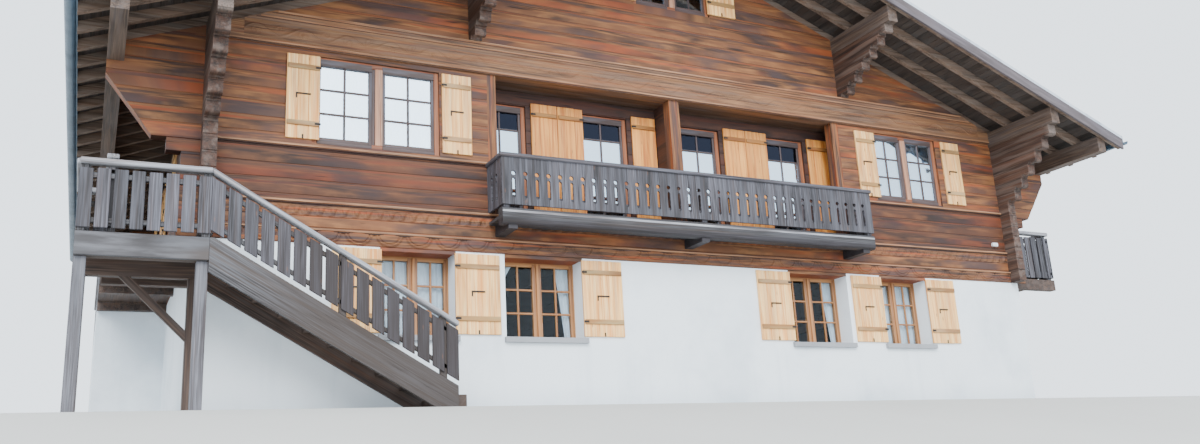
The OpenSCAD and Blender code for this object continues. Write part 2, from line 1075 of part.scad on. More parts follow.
module ground_glass() {
    color("lightblue") {
        at_front()
            for (w = ground_row_wins)
                window_glass(at_frame(w), ground_frame_w, ground_post_w, reveal_depth);
        at_back()
            for (w = ground_row_wins)
                window_glass(at_frame(w), ground_frame_w, ground_post_w, reveal_depth);
        at_right()
            for (w = ground_right_wins)
                window_glass(at_frame(w), ground_frame_w, ground_post_w, reveal_depth);
    }
}

upper_inset = 30;

// Every upper window at its place, drawn by the module that is passed as a child
module upper_frames(glass) {
    at_front()
        for (w = concat(front_left_wins, front_right_wins, attic_front_wins))
            window_part(w, glass);
    at_back()
        for (w = concat(back_wins, attic_back_wins))
            window_part(w, glass);
    at_left()
        for (w = left_wins)
            window_part(w, glass);
    at_right()
        for (w = right_wins)
            window_part(w, glass);
    at_front()
        translate([0, loggia_depth, 0])
            for (w = loggia_doors)
                window_part(w, glass);
}

module window_part(w, glass) {
    if (glass)
        window_glass(w, frame_w, window_post_w, upper_inset);
    else
        window_frame(w, frame_w, window_post_w, upper_inset);
}

module upper_windows() {
    color("sienna")
        upper_frames(false);
}

module upper_glass() {
    color("lightblue")
        upper_frames(true);
}

// A shutter folded back against the wall: boards with two battens, one near each end
batten_foot = 185;
batten_head = 150;
ground_shutter_lap = 20;
ground_shutter_lift = 40;
ground_shutter_over = 10;
plain_laps = [45, 45];
front_left_laps = [95, -35];
front_right_laps = [95, -130];
upper_shutter_lift = 45;
upper_shutter_over = -15;
loggia_shutter_lift = 20;
loggia_shutter_over = 60;

module shutter(x, z, w, h) {
    translate([x, -shutter_t, z])
        cube([w, shutter_t, h]);
    for (lift = [batten_foot, h - batten_head - batten_h])
        translate([x, -shutter_t - batten_t, z + lift])
            cube([w, batten_t, batten_h]);
}

// The shutter at one side of a window: s is -1 for the left side and 1 for the right side
module ground_shutter(w, s) {
    middle = w[0] + s * (w[2] / 2 - ground_shutter_lap + ground_shutter_w / 2);
    shutter(middle - ground_shutter_w / 2, w[1] + ground_shutter_lift, ground_shutter_w,
            w[3] - ground_shutter_lift + ground_shutter_over);
}

// Two shutters of width sw, which cover a little of the window or stand off it: laps gives both
module shutter_pair(w, sw, laps) {
    h = w[3] - upper_shutter_lift + upper_shutter_over;
    shutter(w[0] - w[2] / 2 + laps[0] - sw, w[1] + upper_shutter_lift, sw, h);
    shutter(w[0] + w[2] / 2 - laps[1], w[1] + upper_shutter_lift, sw, h);
}

module ground_shutters() {
    color(pine) {
        at_front()
            ground_row();
        at_back()
            ground_row();
        at_right()
            for (w = ground_right_wins)
                for (s = [-1, 1])
                    ground_shutter(w, s);
    }
}

// Between two neighbouring ground windows there is room for one shutter only
module ground_row() {
    wide = ground_row_wins[0];
    slim = ground_row_wins[2];
    both_sides() {
        ground_shutter(slim, -1);
        ground_shutter(slim, 1);
        ground_shutter(wide, 1);
    }
}

// The shutters of the loggia's bay k
module bay_shutters(k) {
    leaf = bay_leaf(k);
    single = second_start(k) + loggia_second_w + bay_clear;
    for (x = [pair_start(k), pair_start(k) + leaf + shutter_gap, single])
        shutter(x, first_floor_z + loggia_shutter_lift, leaf,
                loggia_door_h - loggia_shutter_lift + loggia_shutter_over);
}

module upper_shutters() {
    color(pine) {
        at_front() {
            for (w = front_left_wins)
                shutter_pair(w, first_shutter_w, front_left_laps);
            for (w = front_right_wins)
                shutter_pair(w, first_shutter_w, front_right_laps);
            for (w = attic_front_wins)
                shutter_pair(w, attic_shutter_w, plain_laps);
            translate([0, loggia_depth, 0])
                for (k = [0, 1])
                    bay_shutters(k);
        }
        at_back() {
            for (w = back_wins)
                shutter_pair(w, first_shutter_w, plain_laps);
            for (w = attic_back_wins)
                shutter_pair(w, attic_shutter_w, plain_laps);
        }
        at_left()
            for (w = left_wins)
                shutter_pair(w, first_shutter_w, plain_laps);
        at_right()
            for (w = right_wins)
                shutter_pair(w, first_shutter_w, plain_laps);
    }
}

// A plank door that fills its hole, with a frame round it
module door(w, depth) {
    translate([w[0] - w[2] / 2, depth, w[1]])
        cube([w[2], frame_t, w[3]]);
}

module doors() {
    color("sienna") {
        at_back()
            door(back_door_at, reveal_depth);
        at_left()
            door(left_door_at, upper_inset);
        at_right()
            door(right_door_at, upper_inset);
        at_left()
            translate([0, -gallery_w, 0])
                door(store_door_at, upper_inset);
    }
}

// Stair and landing
gallery_start = 500;
gallery_out = half_w + gallery_w;
gallery_y0 = -half_d + gallery_start;
rise = landing_z / riser_n;
stair_slope = rise / step_going;
landing_x1 = -half_w + landing_lap;
landing_x0 = landing_x1 - landing_w;
stair_y0 = -half_d - landing_out;
stair_y1 = -half_d - stair_wall_gap;
stair_foot_back = 435;
foot_x = landing_x1 + riser_n * step_going - stair_foot_back;
landing_board_t = 50;
stringer_lift = 30;
box_step_back = 150;
brace_reach = 650;
last_post_back = 145;

// Height of the line over the steps' front edges
function nose_z(x) = landing_z - (x - landing_x1) * stair_slope;

module stringer(y) {
    across(y, y + stringer_t)
        intersection() {
            polygon([
                [landing_x1, nose_z(landing_x1) + stringer_lift - stringer_h],
                [landing_x1, nose_z(landing_x1) + stringer_lift],
                [foot_x, nose_z(foot_x) + stringer_lift],
                [foot_x, nose_z(foot_x) + stringer_lift - stringer_h]
            ]);
            translate([landing_x1, 0])
                square([foot_x - landing_x1, landing_z]);
        }
}

module stair_stringers() {
    color(old_timber) {
        stringer(stair_y0);
        stringer(stair_y1 - stringer_t);
    }
}

tread_lap = 20;

// The lowest step is a block on the ground, the others are treads between the side boards
module stair_treads() {
    color("gray")
        for (k = [1 : riser_n - 1]) {
            x = landing_x1 + (riser_n - k) * step_going;
            low = k == 1 ? 0 : k * rise - tread_t;
            block([x - step_going - tread_lap, stair_y0 + stringer_t, low],
                  [x, stair_y1 - stringer_t, k * rise]);
        }
}

// The deck runs on beside the house's corner, to a box step up to the left gallery
module landing_deck() {
    step_z = landing_z + (gallery_z - landing_z) / 2;
    step_y = (-half_d + log_t + gallery_y0) / 2;
    color("gray") {
        block([landing_x0, stair_y0 + stringer_t, landing_z - landing_board_t],
              [landing_x1, -half_d, landing_z]);
        block([-gallery_out, -half_d, landing_z - landing_board_t],
              [-half_w, gallery_y0, landing_z]);
        block([-gallery_out + box_step_back, step_y, landing_z],
              [-half_w, gallery_y0, step_z]);
    }
}

module landing_frame() {
    w = landing_post_w;
    top = landing_z - landing_board_t;
    low = landing_z - landing_beam_h;
    front_y = stair_y0 + stringer_t;
    back_y = -half_d - w;
    color(old_timber) {
        block([landing_x0, stair_y0, low], [landing_x1, front_y, landing_z]);
        for (y = [front_y, back_y]) {
            block([landing_x0, y, low], [landing_x1, y + w, top]);
            for (x = [landing_x0, landing_x1 - w])
                block([x, y, 0], [x + w, y + w, low]);
        }
        // brace of the back frame
        across(back_y, back_y + w / 2)
            polygon([
                [landing_x1 - w, low - brace_reach - w],
                [landing_x1 - w, low - brace_reach],
                [landing_x1 - w - brace_reach, low],
                [landing_x1 - w - brace_reach - w, low]
            ]);
        // bracket under the deck beside the corner
        block([-gallery_out, gallery_y0 - w, low], [-half_w, gallery_y0, top]);
    }
}

rail_low = 35;
rail_head = 50;
cross_rail_t = 45;
cross_rail_h = 90;
cross_rail_drop = 45;

// A railing from 0 to length along x: boards, two rails behind them and a flat handrail
module rail_run(length, slope, h, low) {
    n = max(1, round((length + rail_board_gap) / (rail_board_w + rail_board_gap)));
    bw = (length + rail_board_gap) / n - rail_board_gap;
    board_top = h - handrail_t - rail_head;
    across(0, rail_t)
        for (k = [0 : n - 1]) {
            x0 = k * (bw + rail_board_gap);
            x1 = x0 + bw;
            polygon([
                [x0, low - slope * x0],
                [x1, low - slope * x1],
                [x1, board_top - slope * x1],
                [x0, board_top - slope * x0]
            ]);
        }
    across(rail_t, rail_t + cross_rail_t)
        for (z = [low + cross_rail_h, board_top - cross_rail_drop - cross_rail_h])
            sloped_bar(length, slope, z, cross_rail_h);
    across(-handrail_lap, rail_t + handrail_back)
        sloped_bar(length, slope, h - handrail_t, handrail_t);
}

module sloped_bar(length, slope, z, h) {
    polygon([
        [0, z],
        [length, z - slope * length],
        [length, z + h - slope * length],
        [0, z + h]
    ]);
}

// A post behind the boards, from z0 up to the handrail's underside
module rail_post(x, z0, z1) {
    block([x, rail_t, z0], [x + rail_post_w, rail_t + rail_post_w, z1]);
}

module stair_railing() {
    h = stair_rail_h;
    run = foot_x - landing_x1;
    color(old_timber) {
        translate([landing_x0, stair_y0 - rail_t, landing_z]) {
            rail_run(landing_w, 0, h, rail_low);
            rail_post(0, 0, h - handrail_t);
            rail_post(landing_w - rail_post_w, 0, h - handrail_t);
        }
        translate([landing_x1, stair_y0 - rail_t, landing_z]) {
            rail_run(run, stair_slope, h, rail_low);
            for (x = [run / 2, run - last_post_back - rail_post_w])
                across(rail_t, rail_t + stringer_t)
                    polygon([
                        [x, stringer_lift - stair_slope * x],
                        [x + rail_post_w, stringer_lift - stair_slope * (x + rail_post_w)],
                        [x + rail_post_w, h - handrail_t - stair_slope * (x + rail_post_w)],
                        [x, h - handrail_t - stair_slope * x]
                    ]);
        }
        // outer side of the landing and the short return to the gallery
        translate([landing_x0, -half_d, landing_z])
            rotate([0, 0, -90]) {
                rail_run(landing_out, 0, h, rail_low);
                rail_post(0, 0, h - handrail_t);
            }
        translate([landing_x0, -half_d - rail_t, landing_z])
            rail_run(-gallery_out - landing_x0, 0, h, rail_low);
    }
}

// Galleries under the eaves
gallery_joist_w = 140;
gallery_joist_h = 140;
gallery_joist_step = 1400;

module gallery_joists(y0, y1) {
    top = gallery_z - gallery_board_t;
    n = max(1, round((y1 - y0 - gallery_joist_w) / gallery_joist_step));
    for (k = [0 : n]) {
        y = y0 + k * (y1 - y0 - gallery_joist_w) / n;
        block([half_w, y, top - gallery_joist_h], [gallery_out, y + gallery_joist_w, top]);
    }
}

module gallery_decks() {
    top = gallery_z - gallery_board_t;
    color("gray")
        difference() {
            union() {
                block([-gallery_out, gallery_y0, top], [-half_w, half_d, gallery_z]);
                mirror([1, 0, 0])
                    gallery_joists(gallery_y0, store_front_y);
                block([half_w, -half_d, top], [gallery_out, half_d, gallery_z]);
                gallery_joists(-half_d, half_d);
            }
            // room for the log ends of the corners
            both_ends()
                both_sides()
                    block([-half_w - log_end, -half_d - eps, masonry_h],
                          [-half_w + eps, -half_d + log_t, gallery_z + eps]);
        }
}

gallery_post_step = 1750;
post_inset = 35;
step_rail_gap = 20;

// A gallery railing with its posts, the outer ones a little way in from its ends
module gallery_rail(length) {
    n = max(1, round(length / gallery_post_step));
    step = (length - rail_post_w - 2 * post_inset) / n;
    rail_run(length, 0, gallery_rail_h, rail_low);
    for (k = [0 : n])
        rail_post(post_inset + k * step, 0, gallery_rail_h - handrail_t);
}

module gallery_railings() {
    end_l = gallery_w - log_end;
    step_l = gallery_y0 + half_d - handrail_lap - handrail_back - step_rail_gap;
    color(old_timber) {
        translate([-gallery_out, half_d, gallery_z])
            rotate([0, 0, -90])
                gallery_rail(half_d - gallery_y0);
        translate([-gallery_out + end_l, half_d, gallery_z])
            rotate([0, 0, 180])
                rail_run(end_l, 0, gallery_rail_h, rail_low);
        // beside the step down to the landing
        translate([-gallery_out, gallery_y0, landing_z])
            rotate([0, 0, -90])
                rail_run(step_l, 0, gallery_z - landing_z + gallery_rail_h, rail_low);
        translate([gallery_out, -half_d, gallery_z])
            rotate([0, 0, 90])
                gallery_rail(house_d);
        for (s = [-1, 1])
            translate([gallery_out - end_l, 0, gallery_z])
                mirror([0, (s + 1) / 2, 0])
                    translate([0, -half_d, 0])
                        rail_run(end_l, 0, gallery_rail_h, rail_low);
    }
}

ground_front_wall();
ground_back_wall();
ground_left_wall();
ground_right_wall();
store_walls();
ground_floor();
first_floor();
attic_floor();
front_sill_logs();
front_left_wall();
front_right_wall();
loggia_back_wall();
loggia_side_walls();
front_belt_beam();
front_gable_wall();
back_wall();
back_gable_wall();
left_wall();
right_wall();
wings();
corner_consoles();
purlin_consoles();
purlins();
left_rafters();
right_rafters();
left_roof();
right_roof();
verge_boards();
gutters();
loggia_posts();
balcony_deck();
balcony_railing();
ground_windows();
ground_sills();
ground_glass();
upper_windows();
upper_glass();
ground_shutters();
upper_shutters();
doors();
stair_stringers();
stair_treads();
stair_railing();
landing_deck();
landing_frame();
gallery_decks();
gallery_railings();
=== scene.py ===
"""Looks of a log chalet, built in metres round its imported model.

Every piece is worked out with numpy as lofts, which are rings of points set one
behind the other, and dressed with procedural finishes.
"""

from __future__ import annotations

import logging
import math
from collections.abc import Callable, Sequence
from dataclasses import dataclass, field, replace
from enum import Enum
from functools import cache
from itertools import count, pairwise, product

import bpy  # noqa: E402
import numpy as np  # noqa: E402
from mathutils import Matrix, Vector  # noqa: E402

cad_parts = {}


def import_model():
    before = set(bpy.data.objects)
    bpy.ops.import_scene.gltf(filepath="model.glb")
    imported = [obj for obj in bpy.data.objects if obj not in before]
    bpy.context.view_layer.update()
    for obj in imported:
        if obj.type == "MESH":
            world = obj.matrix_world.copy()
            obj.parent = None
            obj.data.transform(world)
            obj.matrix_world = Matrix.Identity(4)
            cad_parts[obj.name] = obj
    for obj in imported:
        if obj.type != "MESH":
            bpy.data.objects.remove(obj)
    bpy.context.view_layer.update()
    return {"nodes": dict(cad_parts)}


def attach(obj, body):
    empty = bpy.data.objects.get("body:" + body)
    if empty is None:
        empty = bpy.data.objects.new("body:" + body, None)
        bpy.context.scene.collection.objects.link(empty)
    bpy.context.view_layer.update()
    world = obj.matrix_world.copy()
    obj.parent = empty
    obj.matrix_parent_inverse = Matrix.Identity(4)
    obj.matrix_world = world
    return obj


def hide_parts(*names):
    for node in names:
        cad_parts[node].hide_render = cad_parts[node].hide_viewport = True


LOG = logging.getLogger("chalet")
Colour = tuple[float, float, float, float]
Ends = Callable[[np.ndarray], np.ndarray]
Values = Sequence[float] | np.ndarray | float
Socket, Material = bpy.types.NodeSocket, bpy.types.Material
EAST, NORTH, UP = np.eye(3)


def tint(red: int, green: int, blue: int) -> Colour:
    """Linear colour of a screen colour.

    Args:
        red: Red from 0 to 255.
        green: Green from 0 to 255.
        blue: Blue from 0 to 255.

    Returns:
        Red, green, blue and alpha from 0 to 1.
    """
    parts = [c / 255 for c in (red, green, blue)]
    linear = [c / 12.92 if c <= 0.04045 else ((c + 0.055) / 1.055) ** 2.4 for c in parts]
    return (linear[0], linear[1], linear[2], 1.0)


def at(x: Values, y: Values, z: Values) -> np.ndarray:
    """Points whose three parts are broadcast against each other."""
    return np.stack(np.broadcast_arrays(x, y, z), axis=-1)


@dataclass(frozen=True)
class House:
    """Main sizes of the house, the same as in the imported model."""

    half_w: float = 7.3
    half_d: float = 5.5
    masonry_h: float = 2.3
    first_z: float = 2.75
    belt_z: float = 5.07
    plate_z: float = 5.22
    gable_z: float = 5.56
    log_t: float = 0.18
    log_h: float = 0.21
    log_end: float = 0.23
    slope: float = math.tan(math.radians(21.0))
    roof_half: float = 8.8
    roof_end: float = 7.15
    rafter_h: float = 0.14
    roof_t: float = 0.09
    verge_t: float = 0.04
    loggia_half: float = 3.2
    room_half: float = 3.46
    loggia_depth: float = 0.5
    end_post_w: float = 0.14
    wing_z: float = 3.24
    wing_step: float = 0.18
    purlin_h: float = 0.22
    flying_x: float = 8.46
    clear: float = 0.02

    def soffit(self, x: Values) -> Values:
        """Height of the rafters' underside at a distance x from the ridge."""
        return self.plate_z + (self.half_w - abs(x)) * self.slope

    def gable(self, sign: int) -> Ends:
        """An end that runs up under the rafters, at the left (-1) or the right (1)."""
        return lambda z: sign * (self.half_w - (z - self.plate_z) / self.slope)


HOUSE = House()


class Side(Enum):
    """A wall of the house: its foot in the middle, the way along it and the way in."""

    FRONT = ((0.0, -HOUSE.half_d), (1.0, 0.0), (0.0, 1.0))
    BACK = ((0.0, HOUSE.half_d), (-1.0, 0.0), (0.0, -1.0))
    LEFT = ((-HOUSE.half_w, 0.0), (0.0, -1.0), (1.0, 0.0))
    RIGHT = ((HOUSE.half_w, 0.0), (0.0, 1.0), (-1.0, 0.0))

    def axes(self) -> np.ndarray:
        """Unit vectors along the wall, inwards and up, one in each row."""
        return np.array([[*self.value[1], 0.0], [*self.value[2], 0.0], UP])

    def place(self, local: Values) -> np.ndarray:
        """World points of local ones, whose last axis holds x along the wall, y inwards and z up."""
        return np.array([*self.value[0], 0.0]) + np.asarray(local, float) @ self.axes()


def operator(operation: str, last: bool = False) -> Callable[[Num, Num | float], Num]:
    """A method that adds one Math node, with its own number as the first or the last value."""
    return lambda number, other: number.math(operation, other, last=last)


class Num:
    """A number socket of a node tree; arithmetic on it adds Math nodes."""

    def __init__(self, graph: Graph, socket: Socket) -> None:
        """Keeps the socket and the graph that it belongs to."""
        self.graph, self.socket = graph, socket

    def math(self, operation: str, *others: Num | float, last: bool = False) -> Num:
        """Adds one Math node.

        Args:
            operation: What it works out.
            others: The other values.
            last: Whether this number is its last value and not its first.

        Returns:
            What it gives.
        """
        values = [*others, self] if last else [self, *others]
        node = self.graph.node("ShaderNodeMath", {"operation": operation}, dict(enumerate(values)))
        return Num(self.graph, node.outputs[0])

    __add__ = __radd__ = operator("ADD")
    __mul__ = __rmul__ = operator("MULTIPLY")
    __sub__, __rsub__, __truediv__ = operator("SUBTRACT"), operator("SUBTRACT", last=True), operator("DIVIDE")

    def __abs__(self) -> Num:
        """Size without its sign."""
        return self.math("ABSOLUTE")

    def smooth(self, low: float, high: float) -> Num:
        """A smooth step.

        Args:
            low: Where it starts to rise from 0.
            high: Where it reaches 1.

        Returns:
            A number from 0 to 1.
        """
        values = {"Value": self, "From Min": low, "From Max": high}
        node = self.graph.node("ShaderNodeMapRange", {"interpolation_type": "SMOOTHSTEP"}, values)
        return Num(self.graph, node.outputs[0])

    def below(self, low: float, high: float) -> Num:
        """Falls smoothly from 1 at low to 0 at high."""
        return 1.0 - self.smooth(low, high)


class Graph:
    """The node tree of one material."""

    def __init__(self, name: str) -> None:
        """Starts an empty material.

        Args:
            name: The material's name.
        """
        self.material = bpy.data.materials.new(name)
        self.material.use_nodes = True
        self.tree = self.material.node_tree
        self.tree.nodes.clear()

    def node(self, kind: str, settings: dict | None = None, values: dict | None = None) -> bpy.types.Node:
        """Adds a node of any kind.

        Args:
            kind: The node's type.
            settings: Its own settings, set first.
            values: What its sockets get, by name or number: a Num, a socket or a plain value.

        Returns:
            The new node.
        """
        node = self.tree.nodes.new(kind)
        for key, value in (settings or {}).items():
            setattr(node, key, value)
        for key, value in (values or {}).items():
            source = value.socket if isinstance(value, Num) else value
            if isinstance(source, Socket):
                self.tree.links.new(source, node.inputs[key])
            else:
                node.inputs[key].default_value = source
        return node

    def split(self, vector: Socket) -> list[Num]:
        """The three parts of a vector."""
        return [Num(self, out) for out in self.node("ShaderNodeSeparateXYZ", None, {0: vector}).outputs]

    def join(self, *parts: Num | float) -> Socket:
        """A vector of three numbers."""
        return self.node("ShaderNodeCombineXYZ", None, dict(enumerate(parts))).outputs[0]

    def coords(self) -> list[Num]:
        """Object coordinates, in metres."""
        return self.split(self.node("ShaderNodeTexCoord").outputs["Object"])

    def grain_map(self) -> list[Num]:
        """The piece's own map, in metres."""
        return self.split(self.node("ShaderNodeUVMap", {"uv_map": "grain"}).outputs[0])

    def piece_tone(self) -> Num:
        """The tone of each solid of a piece."""
        return Num(self, self.node("ShaderNodeAttribute", {"attribute_name": "tone"}).outputs["Fac"])

    def noise(self, vector: Socket, scale: float, detail: float = 3.0, rough: float = 0.5) -> Num:
        """Fractal noise from about 0.2 to 0.8."""
        values = {"Vector": vector, "Scale": scale, "Detail": detail, "Roughness": rough}
        return Num(self, self.node("ShaderNodeTexNoise", None, values).outputs[0])

    def spots(self, vector: Socket) -> Num:
        """Distance to the nearest of many points, scattered one to each unit."""
        node = self.node("ShaderNodeTexVoronoi", None, {"Vector": vector, "Scale": 1.0})
        return Num(self, node.outputs["Distance"])

    def chance(self, number: Num) -> Num:
        """A random number for each value of another."""
        node = self.node("ShaderNodeTexWhiteNoise", {"noise_dimensions": "1D"}, {"W": number})
        return Num(self, node.outputs["Value"])

    def blend(
        self, share: Num | float, first: Colour | Socket, second: Colour | Socket, mode: str = "MIX",
    ) -> Socket:
        """A colour between two others, or their product with mode MULTIPLY."""
        settings = {"data_type": "RGBA", "blend_type": mode, "clamp_factor": True}
        return self.node("ShaderNodeMix", settings, {0: share, 6: first, 7: second}).outputs[2]

    def bump(self, height: Num, depth: float) -> Socket:
        """A normal that follows a height of 0 to 1, depth metres deep."""
        return self.node("ShaderNodeBump", None, {"Distance": depth, "Height": height}).outputs[0]

    def end(self, shader: bpy.types.Node) -> Material:
        """Ends the tree in a shader and gives the material."""
        self.node("ShaderNodeOutputMaterial", None, {"Surface": shader.outputs[0]})
        return self.material

    def surface(
        self, colour: Socket, rough: Num | float, normal: Socket | None = None, **others: float,
    ) -> Material:
        """Ends the tree in one Principled shader.

        Args:
            colour: Its colour.
            rough: Its roughness.
            normal: Its normal, where it has a relief.
            others: Values of other sockets, named as Sheen_Weight is.

        Returns:
            The material.
        """
        values = {"Base Color": colour, "Roughness": rough}
        if normal is not None:
            values["Normal"] = normal
        values |= {name.replace("_", " "): value for name, value in others.items()}
        return self.end(self.node("ShaderNodeBsdfPrincipled", None, values))


class Grain(Enum):
    """Which way the fibres of a piece run: its axes along, across and through them, or its own map."""

    ALONG_X = (0, 2, 1)
    ALONG_Y = (1, 2, 0)
    ALONG_Z = (2, 0, 1)
    ACROSS_Z = (0, 1, 2)
    ON_PIECE = ()


@dataclass(frozen=True)
class Wood:
    """Sawn or hewn timber with streaks, fibres, cracks and greyed patches."""

    name: str
    deep: Colour
    body: Colour
    pale: Colour
    streak: Colour
    grey: Colour = tint(120, 118, 116)
    greying: float = 0.2
    streaks: float = 0.5
    cracks: float = 0.6
    knots: float = 0.0
    rough: float = 0.72
    relief: float = 0.004
    tones: tuple[float, float] = (0.74, 1.14)
    lines: float = 0.0
    weather: tuple[float, float] | None = None
    # Painted shade: the colour that timber turns to along the stair's lower run.
    foot: Colour | None = None
    # Painted shade: a band between two heights, and how strongly it is darkened.
    painted_shade_band: tuple[float, float, float] | None = None
    knot: Colour = tint(140, 88, 50)
    # Painted shade: the purplish dark tint that the band is multiplied by.
    painted_shade_tint: Colour = (0.42, 0.36, 0.4, 1)

    def build(self, grain: Grain) -> Material:
        """The material for one way of the grain.

        Args:
            grain: Object axes along, across and through the fibres, or the piece's own map.

        Returns:
            A material whose colour is two broad tones mixed by long noise, with pale fibres,
            orange streaks, dark cracks, and grey where the weather reaches it; where asked,
            painted shade darkens it along the stair's lower run and in a band between two heights.
        """
        g = Graph(f"{self.name}_{grain.name.lower()}")
        where = g.coords()
        through = joint = None
        if grain is Grain.ON_PIECE:
            along, across, _ = g.grain_map()
            tone = g.piece_tone()
        else:
            along, across, through = (where[i] for i in grain.value)
            row = across / HOUSE.log_h
            tone = g.chance(row.math("FLOOR") + through.math("FLOOR") * 0.37)
            part = row.math("FRACT")
            joint = part.math("MINIMUM", 1.0 - part).below(0.0, 0.012 / HOUSE.log_h)
        shift = along + tone * 31.0

        def fibres(length: float, width: float, detail: float, offset: float = 0.0) -> Num:
            """Noise drawn out along the grain, with features of that length and width."""
            deep_way = offset if through is None else through * (1 / width)
            return g.noise(g.join(shift * (1 / length), across * (1 / width) + offset, deep_way), 1.0, detail)

        fine = fibres(0.6, 0.016, 5.0, 3.1)
        thread = fibres(0.25, 0.005, 2.0, 7.7)
        colour = g.blend(fibres(1.5, 0.09, 3.0).smooth(0.36, 0.6), self.deep, self.body)
        colour = g.blend(fine.smooth(0.42, 0.74) * 0.75, colour, self.pale)
        colour = g.blend(fibres(1.9, 0.045, 3.0, 11.3).smooth(0.5, 0.68) * self.streaks, colour, self.streak)
        low, high = ((t, t, t, 1) for t in self.tones)
        colour = g.blend(1.0, colour, g.blend(tone, low, high), "MULTIPLY")
        worn = fibres(1.3, 0.09, 5.0, 23.0).smooth(0.47, 0.62) * self.greying
        if self.weather is not None:
            worn = worn.math("MAXIMUM", abs(where[1]).smooth(*self.weather) * fine.smooth(0.2, 0.55))
        colour = g.blend(worn, colour, self.grey)
        # Painted shade: from x -7.1 to -3.6 m, along the stair's lower run, timber is blended towards the dark foot
        # colour, broken up by the fine fibre noise.
        if self.foot is not None:
            down = where[0].smooth(-7.1, -5.9) * where[0].below(-4.0, -3.6)
            colour = g.blend(down * (0.95 - fine * 0.4), colour, self.foot)
        # Painted shade: the band between the two heights is multiplied by a dark tint.
        if self.painted_shade_band is not None:
            low, high, share = self.painted_shade_band
            band = where[2].smooth(low - 0.03, low) * where[2].below(high - 0.03, high)
            colour = g.blend(band * share, colour, self.painted_shade_tint, "MULTIPLY")
        crack = fibres(1.3, 0.0085, 1.0, 41.0).smooth(0.66, 0.72)
        crack = crack * fibres(0.7, 0.1, 2.0, 57.0).smooth(0.46, 0.6) * self.cracks
        dark = (self.deep[0] * 0.3, self.deep[1] * 0.28, self.deep[2] * 0.28, 1.0)
        colour = g.blend(crack, colour, dark)
        height = fine * 0.6 + thread * 0.25 - crack * 0.9
        if self.knots > 0:
            spot = g.spots(g.join(shift * 2.2, across * 7.5, 0.0))
            colour = g.blend(spot.below(0.03, 0.11) * self.knots, colour, self.knot)
        if joint is not None and self.lines > 0:
            colour = g.blend(joint * self.lines, colour, dark)
            height = height - joint * 1.5 * self.lines
        return g.surface(colour, fine * 0.2 + (self.rough - 0.1), g.bump(height, self.relief))


@dataclass(frozen=True)
class Mineral:
    """Lime render, stone, screed or tiles: a grainy surface with soft stains."""

    name: str
    body: Colour
    stain: Colour
    rough: float = 0.9
    grain: float = 60.0
    relief: float = 0.003
    foot: float = 0.0
    # Painted shade: the dark colour of faces inside the rooms, for unlit rooms.
    room: Colour | None = None

    def build(self) -> Material:
        """Builds the material.

        Returns:
            A material of cloudy stains over grain, darker near the ground, and painted dark on
            the faces of rooms as the painted shade of unlit rooms.
        """
        g = Graph(self.name)
        where = g.coords()
        place = g.join(*where)
        cloud = g.noise(place, 0.7, 5.0, 0.6)
        drip = g.noise(g.join(where[0] * 3.0, where[1] * 3.0, where[2] * 0.35), 1.0, 3.0)
        grit = g.noise(place, self.grain, 4.0, 0.65)
        share = cloud.smooth(0.46, 0.72) * 0.55 + drip.smooth(0.55, 0.75) * 0.25
        if self.foot > 0:
            share = share + where[2].below(0.0, self.foot) * 0.55
        colour = g.blend(share, self.body, self.stain)
        colour = g.blend(g.piece_tone() * 0.35 + grit * 0.12, colour, self.stain)
        # Painted shade: faces inside the outer walls take the dark room colour.
        if self.room is not None:
            outside = abs(where[0]).smooth(6.92, 6.95).math("MAXIMUM", abs(where[1]).smooth(5.12, 5.15))
            colour = g.blend(outside, self.room, colour)
        return g.surface(colour, grit * 0.15 + (self.rough - 0.08), g.bump(grit * 0.5 + cloud * 0.6, self.relief))


@dataclass(frozen=True)
class Metal:
    """Painted sheet or black iron with dull patches."""

    name: str
    body: Colour
    worn: Colour
    metallic: float = 0.0
    rough: float = 0.45

    def build(self) -> Material:
        """Builds the material.

        Returns:
            A material with patches of a second tone, and streaks that run down.
        """
        g = Graph(self.name)
        x, y, z = g.coords()
        patch = g.noise(g.join(x, y, z), 3.0, 5.0, 0.6)
        run = g.noise(g.join(x * 9.0, y * 9.0, z * 0.8), 1.0, 3.0)
        colour = g.blend(patch.smooth(0.45, 0.7) * 0.6 + run.smooth(0.5, 0.7) * 0.3, self.body, self.worn)
        rough = patch * 0.3 + (self.rough - 0.15)
        return g.surface(colour, rough, g.bump(patch * 0.5, 0.001), Metallic=self.metallic)


@dataclass(frozen=True)
class Pane:
    """Window glass: a clear sheet that mirrors part of the sky."""

    name: str
    mirror: float
    body: Colour
    clear: Colour = (0.86, 0.9, 0.92, 1)
    # Painted reflection: the near-black mirrored colour of the loggia's panes above their heads' bar.
    shaded: Colour = (0.02, 0.023, 0.035, 1)

    def build(self) -> Material:
        """Builds the material.

        In the loggia the panes mirror more, as painted reflection, and above their heads' bar
        their mirrored colour is painted near black, a painted reflection of the loggia's dark ceiling.

        Returns:
            A material that mixes a clear and a glossy shader, with a faint ripple.
        """
        g = Graph(self.name)
        x, y, z = g.coords()
        place = g.join(x, y, z)
        clear = g.node("ShaderNodeBsdfTransparent", None, {"Color": self.clear})
        # Painted reflection: in the loggia the mirrored colour turns near black above the heads' bar.
        hall = y.smooth(-5.3, -5.1) * abs(x).below(3.4, 3.6) * y.below(0.0, 1.0) * z.smooth(2.5, 2.7)
        colour = g.blend(hall * z.smooth(4.44, 4.46), self.body, self.shaded)
        normal = g.bump(g.noise(place, 1.6, 2.0), 0.01)
        values = {"Base Color": colour, "Roughness": 0.03, "Metallic": 1.0, "Normal": normal}
        gloss = g.node("ShaderNodeBsdfPrincipled", None, values)
        # Painted reflection: the loggia's panes mirror a quarter more.
        share = g.noise(place, 0.8, 2.0) * (0.3 * self.mirror) + 0.85 * self.mirror + hall * 0.25
        return g.end(g.node("ShaderNodeMixShader", None, {0: share, 1: clear.outputs[0], 2: gloss.outputs[0]}))


